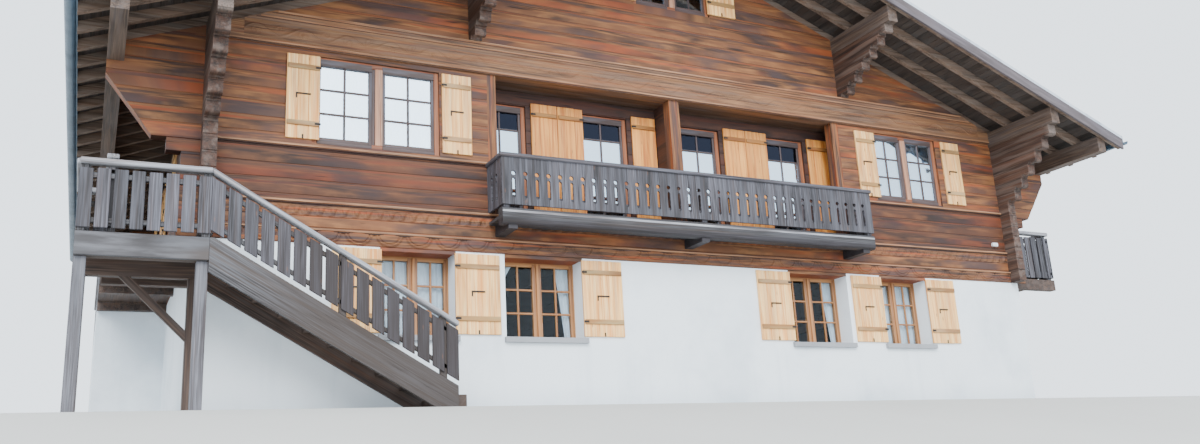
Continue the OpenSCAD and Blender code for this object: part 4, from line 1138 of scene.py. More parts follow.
@dataclass(frozen=True)
class CarvedBands:
    """Mouldings and carved friezes on the front and back walls."""

    half: float = HOUSE.half_w - 0.18
    pitch: float = 0.16
    swag: float = 0.42
    bow: float = 0.62
    bed: float = 0.02
    # Height of the dark strip under each ledge, which is painted shadow.
    groove: float = 0.018

    def reach(self, z: float) -> float:
        """Half of the width that a strip has at a height, so that it ends under the rafters."""
        return min(self.half, float(HOUSE.gable(1)(z)) - HOUSE.clear)

    def relief(
        self, bundle: Bundle, z0: float, z1: float, out: float,
        shape: Callable[[np.ndarray, np.ndarray], np.ndarray], step: float, rows: int, tone: float,
    ) -> None:
        """A carved strip on the front.

        Args:
            bundle: Takes the strip.
            z0: Its foot.
            z1: Its head.
            out: How far its face stands out where nothing is cut away.
            shape: What is cut away, a function of x and of the height in the strip from 0 to 1.
            step: Distance between its rings.
            rows: Points from foot to head.
            tone: Its tone.
        """
        half = self.reach(z1)
        n = int(2 * half / step) + 2
        x, t = np.linspace(-half, half, n)[:, None], np.linspace(0, 1, rows)[None]
        y, z = backed(shape(x, t) * np.ones((n, rows)) - out, z0 + (z1 - z0) * t + 0 * x, self.bed)
        bundle.loft(Side.FRONT.place(at(x, y, z)), x[:, 0] + 3.0 * tone, np.append(z[0], z[0, 0]) + tone, tone)

    def rope(self, x: np.ndarray, t: np.ndarray) -> np.ndarray:
        """Slanting lozenges: a slanted wave that fades at the rims, with a finer one crossed over it.

        Args:
            x: Places along the strip.
            t: Heights in it, from 0 to 1.

        Returns:
            How deep it is cut away.
        """
        phase = x / self.pitch * 2 * math.pi
        twist = np.cos(phase - 2.4 * (t - 0.5)) * np.sin(np.pi * np.clip(t, 0, 1)) ** 0.7
        second = np.cos(2 * phase + 5.0 * (t - 0.5))
        return 0.022 - 0.02 * np.clip(twist, -0.2, 1) - 0.005 * second * np.sin(np.pi * t)

    def scallops(self, x: np.ndarray, t: np.ndarray) -> np.ndarray:
        """Hanging half rounds side by side, each with a groove inside its rim.

        Args:
            x: Places along the strip.
            t: Heights in it, from 0 to 1.

        Returns:
            How deep it is cut away.
        """
        local = (np.mod(x / self.swag, 1.0) - 0.5) * self.swag
        radius = np.sqrt(local**2 + ((1 - t) * 0.19) ** 2)
        rim = 1 / (1 + np.exp((radius - 0.185) / 0.006))
        groove = np.exp(-(((radius - 0.15) / 0.012) ** 2))
        core = np.exp(-((radius / 0.06) ** 2))
        return 0.02 * (1 - rim) + 0.014 * groove * rim - 0.006 * core

    def vine(self, x: np.ndarray, t: np.ndarray) -> np.ndarray:
        """A stem that waves along the strip, with a curled leaf in each bow.

        Args:
            x: Places along the strip.
            t: Heights in it, from 0 to 1.

        Returns:
            How deep it is cut away.
        """
        bows, high = x / self.bow * 2, (t - 0.5) * 0.27
        stem = np.exp(-(((high - 0.07 * np.sin(bows * math.pi)) / 0.016) ** 2))
        sign = np.where(np.mod(np.floor(bows), 2) == 0, 1.0, -1.0)
        dx, dz = (np.mod(bows, 1.0) - 0.5) * self.bow / 2, high + sign * 0.035
        angle, radius = np.arctan2(dz * sign, dx), np.hypot(dx, dz)
        curl = np.exp(-((np.sin(angle + radius * 55.0) / 0.55) ** 2)) * np.exp(-((radius / 0.085) ** 4))
        return 0.011 - 0.009 * np.clip(stem + 0.8 * curl, 0, 1)

    def ledge(self, bundle: Bundle, side: Side, z0: float, z1: float, out: float) -> None:
        """A thin ledge along the wall, with a slanted top.

        Args:
            bundle: Takes the ledge.
            side: Its wall.
            z0: Its foot.
            z1: Its head.
            out: How far it stands out.
        """
        y = (self.bed, 0.004 - out, -out, -out, 0.0, self.bed)
        z = (z0, z0, z0 + 0.004, z1 - 0.006, z1, z1)
        x = np.array([-1.0, 1.0]) * self.reach(z1)
        bundle.loft(side.place(at(x[:, None], y, z)), x, np.linspace(0, 0.15, len(y) + 1), 0.6)

    def build(self) -> None:
        """Scallops and a rope on the sill logs, ledges over painted shadow strips, and the vine with mouldings on the
        belt.
        """
        bands, belt = Bundle("carved_bands_front"), Bundle("belt_carving")
        self.relief(bands, 2.305, 2.47, 0.036, self.scallops, 0.018, 14, 0.35)
        self.relief(bands, 2.675, 2.815, 0.034, self.rope, 0.016, 10, 0.45)
        self.relief(belt, 5.135, 5.395, 0.049, self.vine, 0.014, 22, 0.4)
        bands.build(Palette.log, "log_timber")
        belt.build(Palette.belt, "log_timber")
        pale, dark = Bundle("mouldings"), Bundle("moulding_grooves")
        for side, z0, z1, out in (
            (Side.FRONT, 2.475, 2.505, 0.045), (Side.FRONT, 2.855, 2.89, 0.034), (Side.FRONT, 3.635, 3.67, 0.04),
            (Side.FRONT, 5.09, 5.118, 0.047), (Side.FRONT, 5.452, 5.476, 0.062), (Side.FRONT, 5.53, 5.562, 0.08),
            (Side.BACK, 2.5, 2.53, 0.03),
        ):
            self.ledge(pale, side, z0, z1, out)
            # Painted shadow: under each ledge, a shallower strip in the shaded log finish.
            self.ledge(dark, side, z0 - self.groove, z0, out - 0.008)
        pale.build(Palette.lip, "log_timber")
        dark.build(Palette.shade_log, "log_timber")


@dataclass(frozen=True)
class Shutters:
    """Board shutters folded back against the walls, with battens and black ironwork."""

    board_w: float = 0.15
    board_t: float = 0.032
    batten_t: float = 0.022
    batten_h: float = 0.07
    batten_foot: float = 0.185
    batten_head: float = 0.15
    ground_w: float = 0.67
    first_w: float = 0.45
    attic_w: float = 0.57
    ground_fit: tuple[float, float, float] = (0.02, 0.04, 0.01)
    upper_fit: tuple[float, float] = (0.045, -0.015)
    lap: float = 0.045
    loggia_z: float = 2.77
    loggia_h: float = 2.13

    def leaf(
        self, boards: Bundle, iron: Bundle, side: Side, x: float, z: float, w: float, h: float, hinge: int,
        seed: int, inset: float = 0.0,
    ) -> None:
        """One shutter: boards, two battens, hinge straps on the window side, a foot catch and a bar.

        Args:
            boards: Takes its timber.
            iron: Takes its ironwork.
            side: Its wall.
            x: Its left edge.
            z: Its foot.
            w: Its width.
            h: Its height.
            hinge: Where its hinges are, left (-1) or right (1).
            seed: Number that its draws start from.
            inset: How far its back lies behind the wall's face.
        """
        rng = np.random.default_rng(seed)
        n = max(2, round(w / self.board_w))
        step, face = w / n, inset - self.board_t
        front, middle, lock = face - self.batten_t, x + w * 0.5, h * 0.52
        lifts = z + np.array([self.batten_foot, h - self.batten_head - self.batten_h])
        corners = at(x + np.arange(n) * step + 0.001, face, z + rng.uniform(0, 0.004, n))
        size = (step - 0.002, self.board_t, h - 0.004)
        boards.blocks(corners, size, rng.uniform(0.72, 1, n), 0.004, side=side)
        size = (w - 0.024, self.batten_t, self.batten_h)
        # The battens take far darker tones than the boards: partly their own browner wood, partly painted shade along
        # them.
        boards.blocks(at(x + 0.012, front, lifts), size, rng.uniform(0.1, 0.25, 2), side=side)
        edge = x + w - 0.07 if hinge > 0 else x - 0.012
        iron.blocks(at(edge, front - 0.004, lifts + 0.02), (0.082, 0.006, 0.03), 0.4, 0.0015, side=side)
        for left, out, lift, size in (
            (0.009, 0.012, 0.0, (0.018, 0.012, 0.06)),
            (0.1, 0.014, lock, (0.2, 0.012, 0.02)),
            (0.1, 0.01, lock - 0.06, (0.018, 0.01, 0.075)),
        ):
            iron.blocks((middle - left, face - out, z + lift), size, 0.3, 0.002, side=side)

    def build(self) -> None:
        """All shutters of the masonry storey and all of the log storeys."""
        o, seeds, iron = Openings, count(100), Bundle("shutter_iron")
        ground, upper, inner = (Bundle(f"shutters_{name}") for name in ("ground", "upper", "loggia"))

        def beside(
            bundle: Bundle, side: Side, win: Opening, s: int, w: float, lap: float, lift: float, over: float,
        ) -> None:
            """A shutter at the left (-1) or right (1) of a window, lapping over it, lifted and grown a little."""
            left = win.x + s * (win.w / 2 - lap + w / 2) - w / 2
            self.leaf(bundle, iron, side, left, win.z + lift, w, win.h - lift + over, -s, next(seeds))

        rows = [
            (side, win, way) for side in (Side.FRONT, Side.BACK) for wide, slim, s in zip(o.wide, o.slim, (-1, 1))
            for win, way in ((slim, s), (slim, -s), (wide, -s))
        ]
        for side, win, s in rows + [(Side.RIGHT, win, s) for win in o.ground[Side.RIGHT] for s in (-1, 1)]:
            beside(ground, side, win, s, self.ground_w, *self.ground_fit)
        ground.build(Palette.pine, "shutter_wood", "ground_shutters")
        plain, laps = (self.lap, self.lap), ((0.095, -0.035), (0.095, -0.13))
        rows = [(Side.FRONT, win, self.first_w, pair) for win, pair in zip(o.first[Side.FRONT], laps)]
        rows += [(side, win, self.attic_w, plain) for side, win in o.attic.items()]
        rows += [(side, win, self.first_w, plain) for side in list(Side)[1:] for win in o.first[side]]
        for side, win, w, pair in rows:
            for s, lap in zip((-1, 1), pair):
                beside(upper, side, win, s, w, lap, *self.upper_fit)
        upper.build(Palette.pine, "shutter_wood", "upper_shutters")
        for bay in o.bays:
            w, last, inset = bay.leaf_w, bay.windows[1].right + bay.clear, HOUSE.loggia_depth
            for x, hinge in ((bay.pair, -1), (bay.pair + w + bay.gap, 1), (last, -1)):
                leaf = (x, self.loggia_z, w, self.loggia_h, hinge)
                self.leaf(inner, iron, Side.FRONT, *leaf, next(seeds), inset)
        inner.build(Palette.amber, "shutter_wood", "upper_shutters")
        iron.build(Palette.iron, "gutter_metal")


@dataclass(frozen=True)
class WindowKind:
    """A kind of window and the pieces that take its parts.

    The frame's bundle takes the outer frame and the post's front, and the sash's bundle the
    casements, the bars, the drawn-back part of the post, dark as painted shade of the post's
    side, and dark bars over the frame's head, as painted shadow under it. Heights are those
    of the level bars, as shares of a pane's height.
    """

    frames: Bundle
    posts: Bundle
    sashes: Bundle
    depth: float
    edge: float
    post: float
    heights: Sequence[float] = (1 / 3, 2 / 3)


@dataclass(frozen=True)
class Glazing:
    """Frames, casements and glazing bars of every window, round the panes."""

    frame_t: float = 0.08
    casement: float = 0.045
    step: float = 0.014
    bar_w: float = 0.028
    bar_t: float = 0.034
    head: float = 0.022
    rail: float = 0.05
    single: float = 0.96
    upper_depth: float = 0.03
    reveal: float = 0.28
    seat: float = 0.04

    def window(self, kind: WindowKind, side: Side, win: Opening) -> None:
        """One window: outer frame, casements with bars, and a post between them where it is wide.

        Args:
            kind: Its kind.
            side: Its wall.
            win: Its opening.
        """
        depth, edge, post, sashes = kind.depth, kind.edge, kind.post, kind.sashes

        def bar(bundle: Bundle, x: float, z: float, w: float, h: float, y: float, t: float, tone: float) -> None:
            """A bar over that width and height, its grain along the longer one."""
            bundle.blocks((x, y, z), (w, t, h), tone, 0.004, side=side)

        def ring(bundle: Bundle, x0: float, z0: float, w: float, h: float, rim: float, y: float, tone: float) -> None:
            """Two jambs, and a head and a foot between them.

            Args:
                bundle: Takes the four bars.
                x0: Left edge.
                z0: Foot.
                w: Width.
                h: Height.
                rim: Width of the bars.
                y: Depth of their face.
                tone: Their tone.
            """
            for x in (x0, x0 + w - rim):
                bar(bundle, x, z0, rim, h, y, depth + self.frame_t - y, tone)
            for z in (z0, z0 + h - rim):
                bar(bundle, x0 + rim, z, w - 2 * rim, rim, y, depth + self.frame_t - y, tone + 0.1)

        lights = 2 if win.w > self.single else 1
        light, y = (win.w - 2 * edge - (lights - 1) * post) / lights, depth + self.step
        z, h = win.z + edge, win.h - 2 * edge
        ring(kind.frames, win.left, win.z, win.w, win.h, edge, depth, 0.55)
        if lights == 2:
            x = win.left + edge + light
            # Painted shade: the post's drawn-back left part is in the dark sash finish, for the shaded side of a post
            # that stands out; its step back is real.
            bar(sashes, x, z, 0.3 * post, h, y, self.frame_t - self.step, 0.2)
            bar(kind.posts, x + 0.3 * post, z, 0.7 * post, h, depth - 0.006, self.frame_t, 0.6)
        for k in range(lights):
            x = win.left + edge + k * (light + post)
            # Dark sash-finish bars across each light: the one at the head is painted shadow under the frame's head; the
            # one at the foot darkens the frame's foot.
            if edge > self.head:
                tall = edge + self.rail - self.head
                bar(sashes, x, win.top - edge - self.rail, light, tall, depth - 0.004, self.rail, 0.0)
                bar(sashes, x, win.z + 0.012, light, edge - 0.012, depth - 0.004, self.rail, 0.1)
            ring(sashes, x, z, light, h, self.casement, y, 0.4)
            left, foot = x + self.casement, z + self.casement
            wide, tall = light - 2 * self.casement, h - 2 * self.casement
            y_bar = depth + self.frame_t / 2 - self.bar_t / 2 - 0.004
            bar(sashes, left + (wide - self.bar_w) / 2, foot, self.bar_w, tall, y_bar, self.bar_t, 0.7)
            for share in kind.heights:
                low = foot + tall * share - self.bar_w / 2
                bar(sashes, left, low, wide, self.bar_w, y_bar + 0.002, self.bar_t - 0.004, 0.75)

    def build(self) -> None:
        """Ground windows in honey pine, and upper ones in pale frames with brown casements."""
        o, p = Openings, Palette
        names = ("ground_frames", "ground_sashes", "upper_frames", "upper_posts", "upper_sashes")
        pieces = [Bundle(name) for name in names]
        g_frames, g_sashes, *upper = pieces
        ground = WindowKind(g_frames, g_frames, g_sashes, self.reveal, edge=0.02, post=0.055)
        for side, wins in o.ground.items():
            for win in wins:
                self.window(ground, side, replace(win, w=win.w - self.seat))
        first = WindowKind(*upper, self.upper_depth, edge=0.07, post=0.15)
        for side, wins in o.first.items():
            for win in wins:
                self.window(first, side, win)
        for side, win in o.attic.items():
            self.window(replace(first, heights=(0.5,)), side, win)
        french = replace(first, depth=HOUSE.loggia_depth + self.upper_depth, heights=(0.2, 0.5, 0.845))
        for win in o.loggia:
            self.window(french, Side.FRONT, win)
        for bundle, finish in zip(pieces, (p.honey, p.honey, p.frame, p.post, p.sash)):
            bundle.build(finish, "window_wood", f"{bundle.name.split('_')[0]}_windows")
        self.lintels()

    def lintels(self) -> None:
        """Timber lintels over the ground windows: a strip in front, and a board under the reveal's head."""
        beams = Bundle("window_lintels")
        for side, wins in Openings.ground.items():
            for k, win in enumerate(wins):
                x, z = win.left + 0.002, win.top - 0.012
                beams.blocks((x, -0.012, z), (win.w - 0.004, 0.011, 0.05), 0.3 + 0.1 * k, 0.003, side=side)
                size = (win.w - 0.004 - self.seat, self.reveal, 0.011)
                beams.blocks((x, -0.001, z), size, 0.2, 0.002, side=side)
        beams.build(Palette.log, "log_timber")


@dataclass(frozen=True)
class WallLamp:
    """A small white box lamp on the logs near the right corner."""

    corner: tuple[float, float, float] = (6.76, -5.56, 2.985)
    size: tuple[float, float, float] = (0.13, 0.06, 0.07)

    def build(self) -> None:
        """One bevelled box."""
        box = Bundle("wall_lamp")
        box.blocks(self.corner, self.size, 0.5, 0.01)
        box.build(Palette.lamp, "gutter_metal")


@dataclass(frozen=True)
class Curtains:
    """Gathered white curtains behind the front windows."""

    ground_y: float = Glazing.reveal + 0.1
    upper_y: float = Glazing.upper_depth + 0.1
    fold: float = 0.085
    slow_fold: float = 0.31

    def hang(self, name: str, x0: float, x1: float, z0: float, z1: float, depth: float, pull: float = 0.0) -> None:
        """One curtain on the front.

        Its depth is a wave across the width, deeper towards the hem, with a second slower wave.

        Args:
            name: Name of the piece.
            x0: Its left edge.
            x1: Its right edge.
            z0: Its hem.
            z1: Its head.
            depth: How far it hangs behind the wall's face.
            pull: Share of its width drawn aside at the hem, to the left, or to the right where negative.
        """
        width, height = x1 - x0, z1 - z0
        u, v = np.linspace(0, 1, max(24, int(width / 0.011)))[None], np.linspace(0, 1, 26)[:, None]
        hem, turns = 0.55 + 0.45 * v, u * width * 2 * math.pi
        wave = 0.016 * hem * np.sin(turns / self.fold + 1.3 * np.sin(2.0 * v + u * 4))
        slow = 0.008 * np.sin(turns / self.slow_fold + 0.7)
        draw = 1.0 - abs(pull) * v**0.8
        x = x0 + u * width * draw if pull >= 0 else x1 - (1 - u) * width * draw
        cloth = Side.FRONT.place(at(x, depth + wave + slow * hem, z1 - v * height))
        bundle = Bundle(name)
        bundle.sheet(cloth, np.stack(np.broadcast_arrays(u * width * 1.3, v * height), axis=-1))
        piece = bundle.build(Palette.cloth, "curtain", smooth=True)
        a, b = cloth[:-1, :-1] - cloth[1:, 1:], cloth[:-1, 1:] - cloth[1:, :-1]
        area = float(np.linalg.norm(np.cross(a, b), axis=-1).sum() / 2)
        round(area / height, 3)

    def build(self) -> None:
        """Curtains of the ground, first floor and loggia windows."""
        o, deep = Openings, self.ground_y
        for k, win in enumerate(o.slim):
            self.hang(f"curtain_slim_{k}", win.left + 0.05, win.right - 0.05, win.z + 0.06, win.top - 0.05, deep)
        for k, win in enumerate(o.wide):
            top = win.top - 0.05
            self.hang(f"curtain_wide_{k}_a", win.left + 0.05, win.left + 0.26, win.top - 0.4, top, deep, 0.92)
            self.hang(f"curtain_wide_{k}_b", win.right - 0.3, win.right - 0.05, win.z + 0.06, top, deep, -0.6)
        for k, win in enumerate(o.first[Side.FRONT]):
            heights = (win.z + 0.08, win.top - 0.08)
            self.hang(f"curtain_first_{k}", win.left + 0.08, win.right - 0.08, *heights, self.upper_y)
        for k, win in enumerate(o.loggia):
            heights = (win.z + 0.1, win.z + 1.71)
            inset = HOUSE.loggia_depth + self.upper_y
            self.hang(f"curtain_loggia_{k}", win.left + 0.09, win.right - 0.09, *heights, inset)


@dataclass(frozen=True)
class Roof:
    """Soffit boards, tiles, ridge caps and metal verge trims."""

    end: float = HOUSE.roof_end - HOUSE.verge_t
    peak: float = float(HOUSE.soffit(0.0))
    board_w: float = 0.135
    board_t: float = 0.024
    tile_step: float = 0.33
    tile_w: float = 0.235
    tile_t: float = 0.02
    tile_lap: float = 0.07
    tile_rise: float = 0.022
    tile_sink: float = 0.052
    cap_l: float = 0.38
    cap_r: float = 0.12
    cap_sink: float = 0.134

    def slope(self, sign: int, name: str) -> None:
        """Boards and tiles of one slope.

        Args:
            sign: Left (-1) or right (1).
            name: Its word in the names of the pieces.
        """
        h, rng = HOUSE, np.random.default_rng(40 + sign)
        cos = 1 / math.hypot(1, h.slope)
        down, normal = np.array([sign, 0.0, -h.slope]) * cos, np.array([sign * h.slope, 0.0, 1.0]) * cos
        length = h.roof_half / cos
        n = int(length / self.board_w)
        boards, tiles = Bundle(f"soffit_boards_{name}"), Bundle(f"roof_tiles_{name}")
        boards.bars(
            down * (np.arange(n) * length / n)[:, None] + (0.0, -self.end, self.peak + h.rafter_h + 0.001),
            (0.0, 2 * self.end, 0.0), down * (length / n - 0.003), normal * self.board_t, rng.uniform(0, 1, n), 0.003,
        )
        rows, cols = int(length / self.tile_step), int(2 * self.end / self.tile_w)
        r, c = np.indices((rows, cols)).reshape(2, -1)
        step, wide = length / rows, 2 * self.end / cols
        along = r * step + rng.uniform(-0.004, 0.004, r.size)
        y = -self.end + c * wide + rng.uniform(-0.002, 0.002, c.size)
        top = self.peak + (h.rafter_h + h.roof_t - self.tile_sink + rng.uniform(0, 0.003, r.size))
        lap = np.where(r == rows - 1, 0.0, self.tile_lap)[:, None]
        tiles.bars(
            down * along[:, None] + at(0.0, y, top), down * (step + lap) + normal * self.tile_rise,
            (0.0, wide - 0.004, 0.0), normal * self.tile_t, rng.uniform(0, 1, r.size), 0.003,
        )
        boards.build(Palette.soffit, "roof_timber", f"{name}_roof")
        tiles.build(Palette.tile, "roof_covering", f"{name}_roof")

    def ridge(self) -> None:
        """Overlapping half-round caps: arcs whose radius grows a little along each cap."""
        caps, s = Bundle("ridge_caps"), np.array([0.0, 1.0])
        n = int(2 * self.end / self.cap_l)
        step = 2 * self.end / n
        angle = np.radians(np.linspace(20, 160, 9))
        arc = np.stack([np.cos(angle), np.sin(angle)])
        x, z = (self.cap_r + 0.012 * s)[:, None] * np.concatenate([arc, arc[:, ::-1] * 0.86], axis=1)[:, None]
        y = (-self.end + np.arange(n) * step)[:, None, None] + s[:, None] * (step + 0.03)
        top = self.peak + HOUSE.rafter_h + HOUSE.roof_t - self.cap_sink
        around, tones = np.linspace(0, 0.6, 2 * angle.size + 1), np.random.default_rng(5).uniform(0, 1, n)
        caps.loft(at(x, np.minimum(y, self.end), top + z), s * self.cap_l, around, tones)
        caps.build(Palette.tile, "roof_covering")

    def verges(self) -> None:
        """The verge boards, and bright folded sheet over the top of each."""
        h, trim, board = HOUSE, Bundle("verge_trim"), Bundle("verges")
        lift, out, inner = h.rafter_h + h.roof_t, h.roof_end, self.end
        back, under, hem = out - 0.004, lift - 0.006, lift - 0.06
        fold = [(out, hem), (out, lift), (out - 0.11, lift), (out - 0.11, under), (back, under), (back, hem)]
        plank = [(inner, -0.03), (back - 0.008, -0.03), (back, -0.022), (back, under), (inner, under)]
        for sy, sx in product((-1, 1), repeat=2):
            x = np.array([[0.0], [sx * h.roof_half]])
            for bundle, profile in ((trim, fold), (board, plank)):
                y, rise = np.array(profile).T
                around = np.linspace(0, 0.3, len(profile) + 1) + 0.4 * sx + 0.9 * sy
                bundle.loft(at(x, sy * y, h.soffit(x) + rise), (0.0, 9.4), around, 0.5)
        trim.build(Palette.trim, "gutter_metal")
        board.build(Palette.verge, "roof_timber", "verge_boards")

    def build(self) -> None:
        """Both slopes, the ridge and the verges."""
        self.slope(-1, "left")
        self.slope(1, "right")
        self.ridge()
        self.verges()


@dataclass
class Railing:
    """Board railings in three pieces: boards, cross rails with posts, and flat handrails."""

    prefix: str
    height: float
    low: float = 0.035
    board_w: float = 0.145
    gap: float = 0.038
    rail_t: float = 0.03
    hand_t: float = 0.06
    hand_lap: float = 0.03
    hand_back: float = 0.08
    head: float = 0.05
    cross_t: float = 0.045
    cross_h: float = 0.06
    cross_drop: float = 0.045
    post_w: float = 0.09

    def __post_init__(self) -> None:
        """Starts the three pieces."""
        parts = ("boards", "rails", "handrails")
        self.boards, self.rails, self.hand = (Bundle(f"{self.prefix}_{part}") for part in parts)
        self.post_h = self.height - self.hand_t

    def run(
        self, seed: int, start: Sequence[float], along: np.ndarray, inwards: np.ndarray, length: float,
        slope: float = 0.0, lift: float = 0.0, extra: float = 0.0,
    ) -> None:
        """One straight run.

        Args:
            seed: Number that its draws start from.
            start: Its start at the height of the deck.
            along: Level unit vector along it.
            inwards: Level unit vector from the boards' face to the rails.
            length: Its level length.
            slope: Its fall for each metre.
            lift: What its boards' foot is higher than elsewhere.
            extra: What its handrail is higher than elsewhere.
        """
        rng = np.random.default_rng(seed)
        low, height, fall = self.low + lift, self.height + extra, along - UP * slope
        n = max(1, round((length + self.gap) / (self.board_w + self.gap)))
        w = (length + self.gap) / n - self.gap
        x = (np.arange(n) * (w + self.gap))[:, None]
        tall = height - self.hand_t - self.head - low
        self.boards.bars(
            start + fall * x + UP * (low + rng.uniform(-0.006, 0.004, (n, 1))),
            UP * (tall + rng.uniform(-0.004, 0.004, (n, 1))), fall * w, inwards * self.rail_t,
            rng.uniform(0, 1, n), 0.005,
        )
        for z in (low + self.cross_h, low + tall - self.cross_drop - self.cross_h):
            self.rails.bars(
                start + inwards * self.rail_t + UP * z, fall * length, UP * self.cross_h, inwards * self.cross_t,
                rng.uniform(0, 0.6, 1), 0.005,
            )
        self.hand.bars(
            start - inwards * self.hand_lap + UP * (height - self.hand_t), fall * length,
            inwards * (self.hand_lap + self.rail_t + self.hand_back), UP * self.hand_t, rng.uniform(0.6, 1, 1), 0.01,
        )

    def post(self, corner: Values, along: np.ndarray, inwards: np.ndarray) -> None:
        """A square post from its corner up to the handrail."""
        self.rails.bars(corner, UP * self.post_h, along * self.post_w, inwards * self.post_w, 0.35)

    def build(self, node: str) -> None:
        """Dresses the pieces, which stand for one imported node."""
        for bundle, finish in ((self.boards, Palette.board), (self.rails, Palette.side), (self.hand, Palette.silver)):
            bundle.build(finish, "grey_timber", node)


@dataclass(frozen=True)
class Stair:
    """Stair and landing at the left corner, with their railings."""

    x1: float = -7.25
    x0: float = -8.64
    z: float = 2.0
    y0: float = -6.7
    out: float = 1.2
    going: float = 0.31
    risers: int = 11
    foot_back: float = 0.435
    last_post: float = 0.145
    stringer_lift: float = 0.03
    stringer_t: float = 0.06
    stringer_h: float = 0.43
    wall_gap: float = 0.26
    tread_t: float = 0.045
    board_t: float = 0.05
    beam_h: float = 0.27
    post_w: float = 0.13
    brace_reach: float = 0.65

    def build(self) -> None:
        """Railings of the landing, the stair and the short return, then the timber that carries them."""
        rail = Railing("stair", 0.83)
        slope = self.z / self.risers / self.going
        run = self.risers * self.going - self.foot_back
        front, wall, lift = self.y0 - rail.rail_t, -HOUSE.half_d, self.stringer_lift
        rail.run(61, (self.x0, front, self.z), EAST, NORTH, self.x1 - self.x0)
        rail.run(62, (self.x1, front, self.z), EAST, NORTH, run, slope, lift=0.05)
        rail.run(63, (self.x0, wall, self.z), -NORTH, EAST, self.out)
        rail.run(64, (self.x0, wall - rail.rail_t, self.z), EAST, NORTH, 0.3)
        for x, y in ((self.x0, self.y0), (self.x1 - rail.post_w, self.y0), (self.x0 + rail.rail_t, wall - rail.post_w)):
            rail.post((x, y, self.z), EAST, NORTH)
        for x in (run / 2, run - self.last_post - rail.post_w):
            rail.rails.bars(
                (self.x1 + x, self.y0, self.z + lift - slope * x), UP * (rail.post_h - lift),
                (EAST - UP * slope) * rail.post_w, NORTH * self.stringer_t, 0.2,
            )
        rail.build("stair_railing")
        self.sides(slope, run)
        self.landing()

    def sides(self, slope: float, run: float) -> None:
        """Side boards and treads; a side board is cut level at the landing and at the ground.

        Its outline is written with one coordinate upright and one down the slope, so that the
        fibres follow the slope: a = z - z0 + s * slope, b = s / cos, for s metres from the landing.

        Args:
            slope: Fall of the stair for each metre.
            run: Level length of its side boards.
        """
        lift, cos = self.stringer_lift, 1 / math.hypot(1, slope)
        foot, inner = self.z + lift - self.stringer_h, -HOUSE.half_d - self.wall_gap - self.stringer_t
        s = np.array([0.0, 0.0, lift / slope, run, run, foot / slope])
        z = np.array([foot, self.z, self.z, self.z + lift - slope * run, 0.0, 0.0])
        outline = np.stack([z - self.z + s * slope, s / cos], axis=-1)
        down = (EAST - UP * slope) * cos
        for name, finish, y in (("stair_side", Palette.side, self.y0), ("stair_side_back", Palette.dark, inner)):
            board = Bundle(name)
            board.slabs([outline], (self.x1, y, self.z), UP, down, NORTH * self.stringer_t, 0.6)
            board.build(finish, "grey_timber", "stair_stringers")
        treads, k, y = Bundle("stair_steps"), np.arange(1, self.risers), self.y0 + self.stringer_t
        top = k * self.z / self.risers
        low, deep = np.where(k == 1, 0.0, top - self.tread_t), self.going + 0.02
        x = self.x1 + (self.risers - k) * self.going - deep
        tones = np.linspace(0.1, 0.9, k.size)
        treads.bars(at(x, y, low), NORTH * (inner - y), EAST * deep, at(0.0, 0.0, top - low), tones)
        treads.build(Palette.dark, "grey_timber", "stair_treads")

    def landing(self) -> None:
        """Posts and edge beam in pale timber; beams, brace and bracket under the deck in dark timber."""
        pale, edge, dark = (Bundle(f"landing_{part}") for part in ("posts", "edge", "beams"))
        w, low, wide, x1 = self.post_w, self.z - self.beam_h, self.x1 - self.x0, self.x1 - self.post_w
        tall, reach, half = self.beam_h - self.board_t, self.brace_reach, math.sqrt(0.5)
        front, back = self.y0 + self.stringer_t, -HOUSE.half_d - w
        edge.blocks((self.x0, self.y0, low), (wide, self.stringer_t, self.beam_h), 0.7)
        for y, bundle, tone in ((front, pale, 0.3), (back, dark, 0.6)):
            dark.blocks((self.x0, y, low), (wide, w, tall), tone)
            bundle.blocks((self.x0, y, 0.0), (w, w, low), 0.25, 0.008)
            bundle.blocks((x1, y, 0.0), (w, w, low), 0.65, 0.008)
        brace = np.array([(-w, 0.0), (0.0, 0.0), (0.0, reach), (-w, reach + w)]) * (1.0, 1 / half)
        dark.slabs([brace], (x1, back, low - reach), UP, (UP - EAST) * half, NORTH * w / 2, 0.8)
        dark.blocks((-Galleries.out, Galleries.y0 - w, low), (Galleries.out - HOUSE.half_w, w, tall), 0.5)
        for bundle, finish in ((pale, Palette.beam), (edge, Palette.side), (dark, Palette.dark)):
            bundle.build(finish, "grey_timber", "landing_frame")


@dataclass(frozen=True)
class Galleries:
    """Railings of the side galleries."""

    out: float = 8.34
    y0: float = -5.0
    z: float = 2.4
    post_step: float = 1.75
    inset: float = 0.035

    def build(self) -> None:
        """Both galleries, their ends and the part beside the step down; long runs get posts."""
        h, rail, z = HOUSE, Railing("gallery", 0.95), self.z
        end, step = self.out - h.half_w - h.log_end, z - Stair.z
        for seed, (start, along, inwards, length, extra) in enumerate((
            ((-self.out, h.half_d, z), -NORTH, EAST, h.half_d - self.y0, 0.0),
            ((end - self.out, h.half_d, z), -EAST, -NORTH, end, 0.0),
            ((-self.out, self.y0, z - step), -NORTH, EAST, 0.37, step),
            ((self.out, -h.half_d, z), NORTH, -EAST, 2 * h.half_d, 0.0),
            ((self.out - end, -h.half_d, z), EAST, NORTH, end, 0.0),
            ((self.out - end, h.half_d, z), EAST, -NORTH, end, 0.0),
        ), 71):
            rail.run(seed, start, along, inwards, length, extra=extra)
            spaces = round(length / self.post_step)
            for k in range(spaces + 1) if spaces else ():
                way = self.inset + k * (length - rail.post_w - 2 * self.inset) / spaces
                rail.post(start + along * way + inwards * rail.rail_t, along, inwards)
        rail.build("gallery_railings")


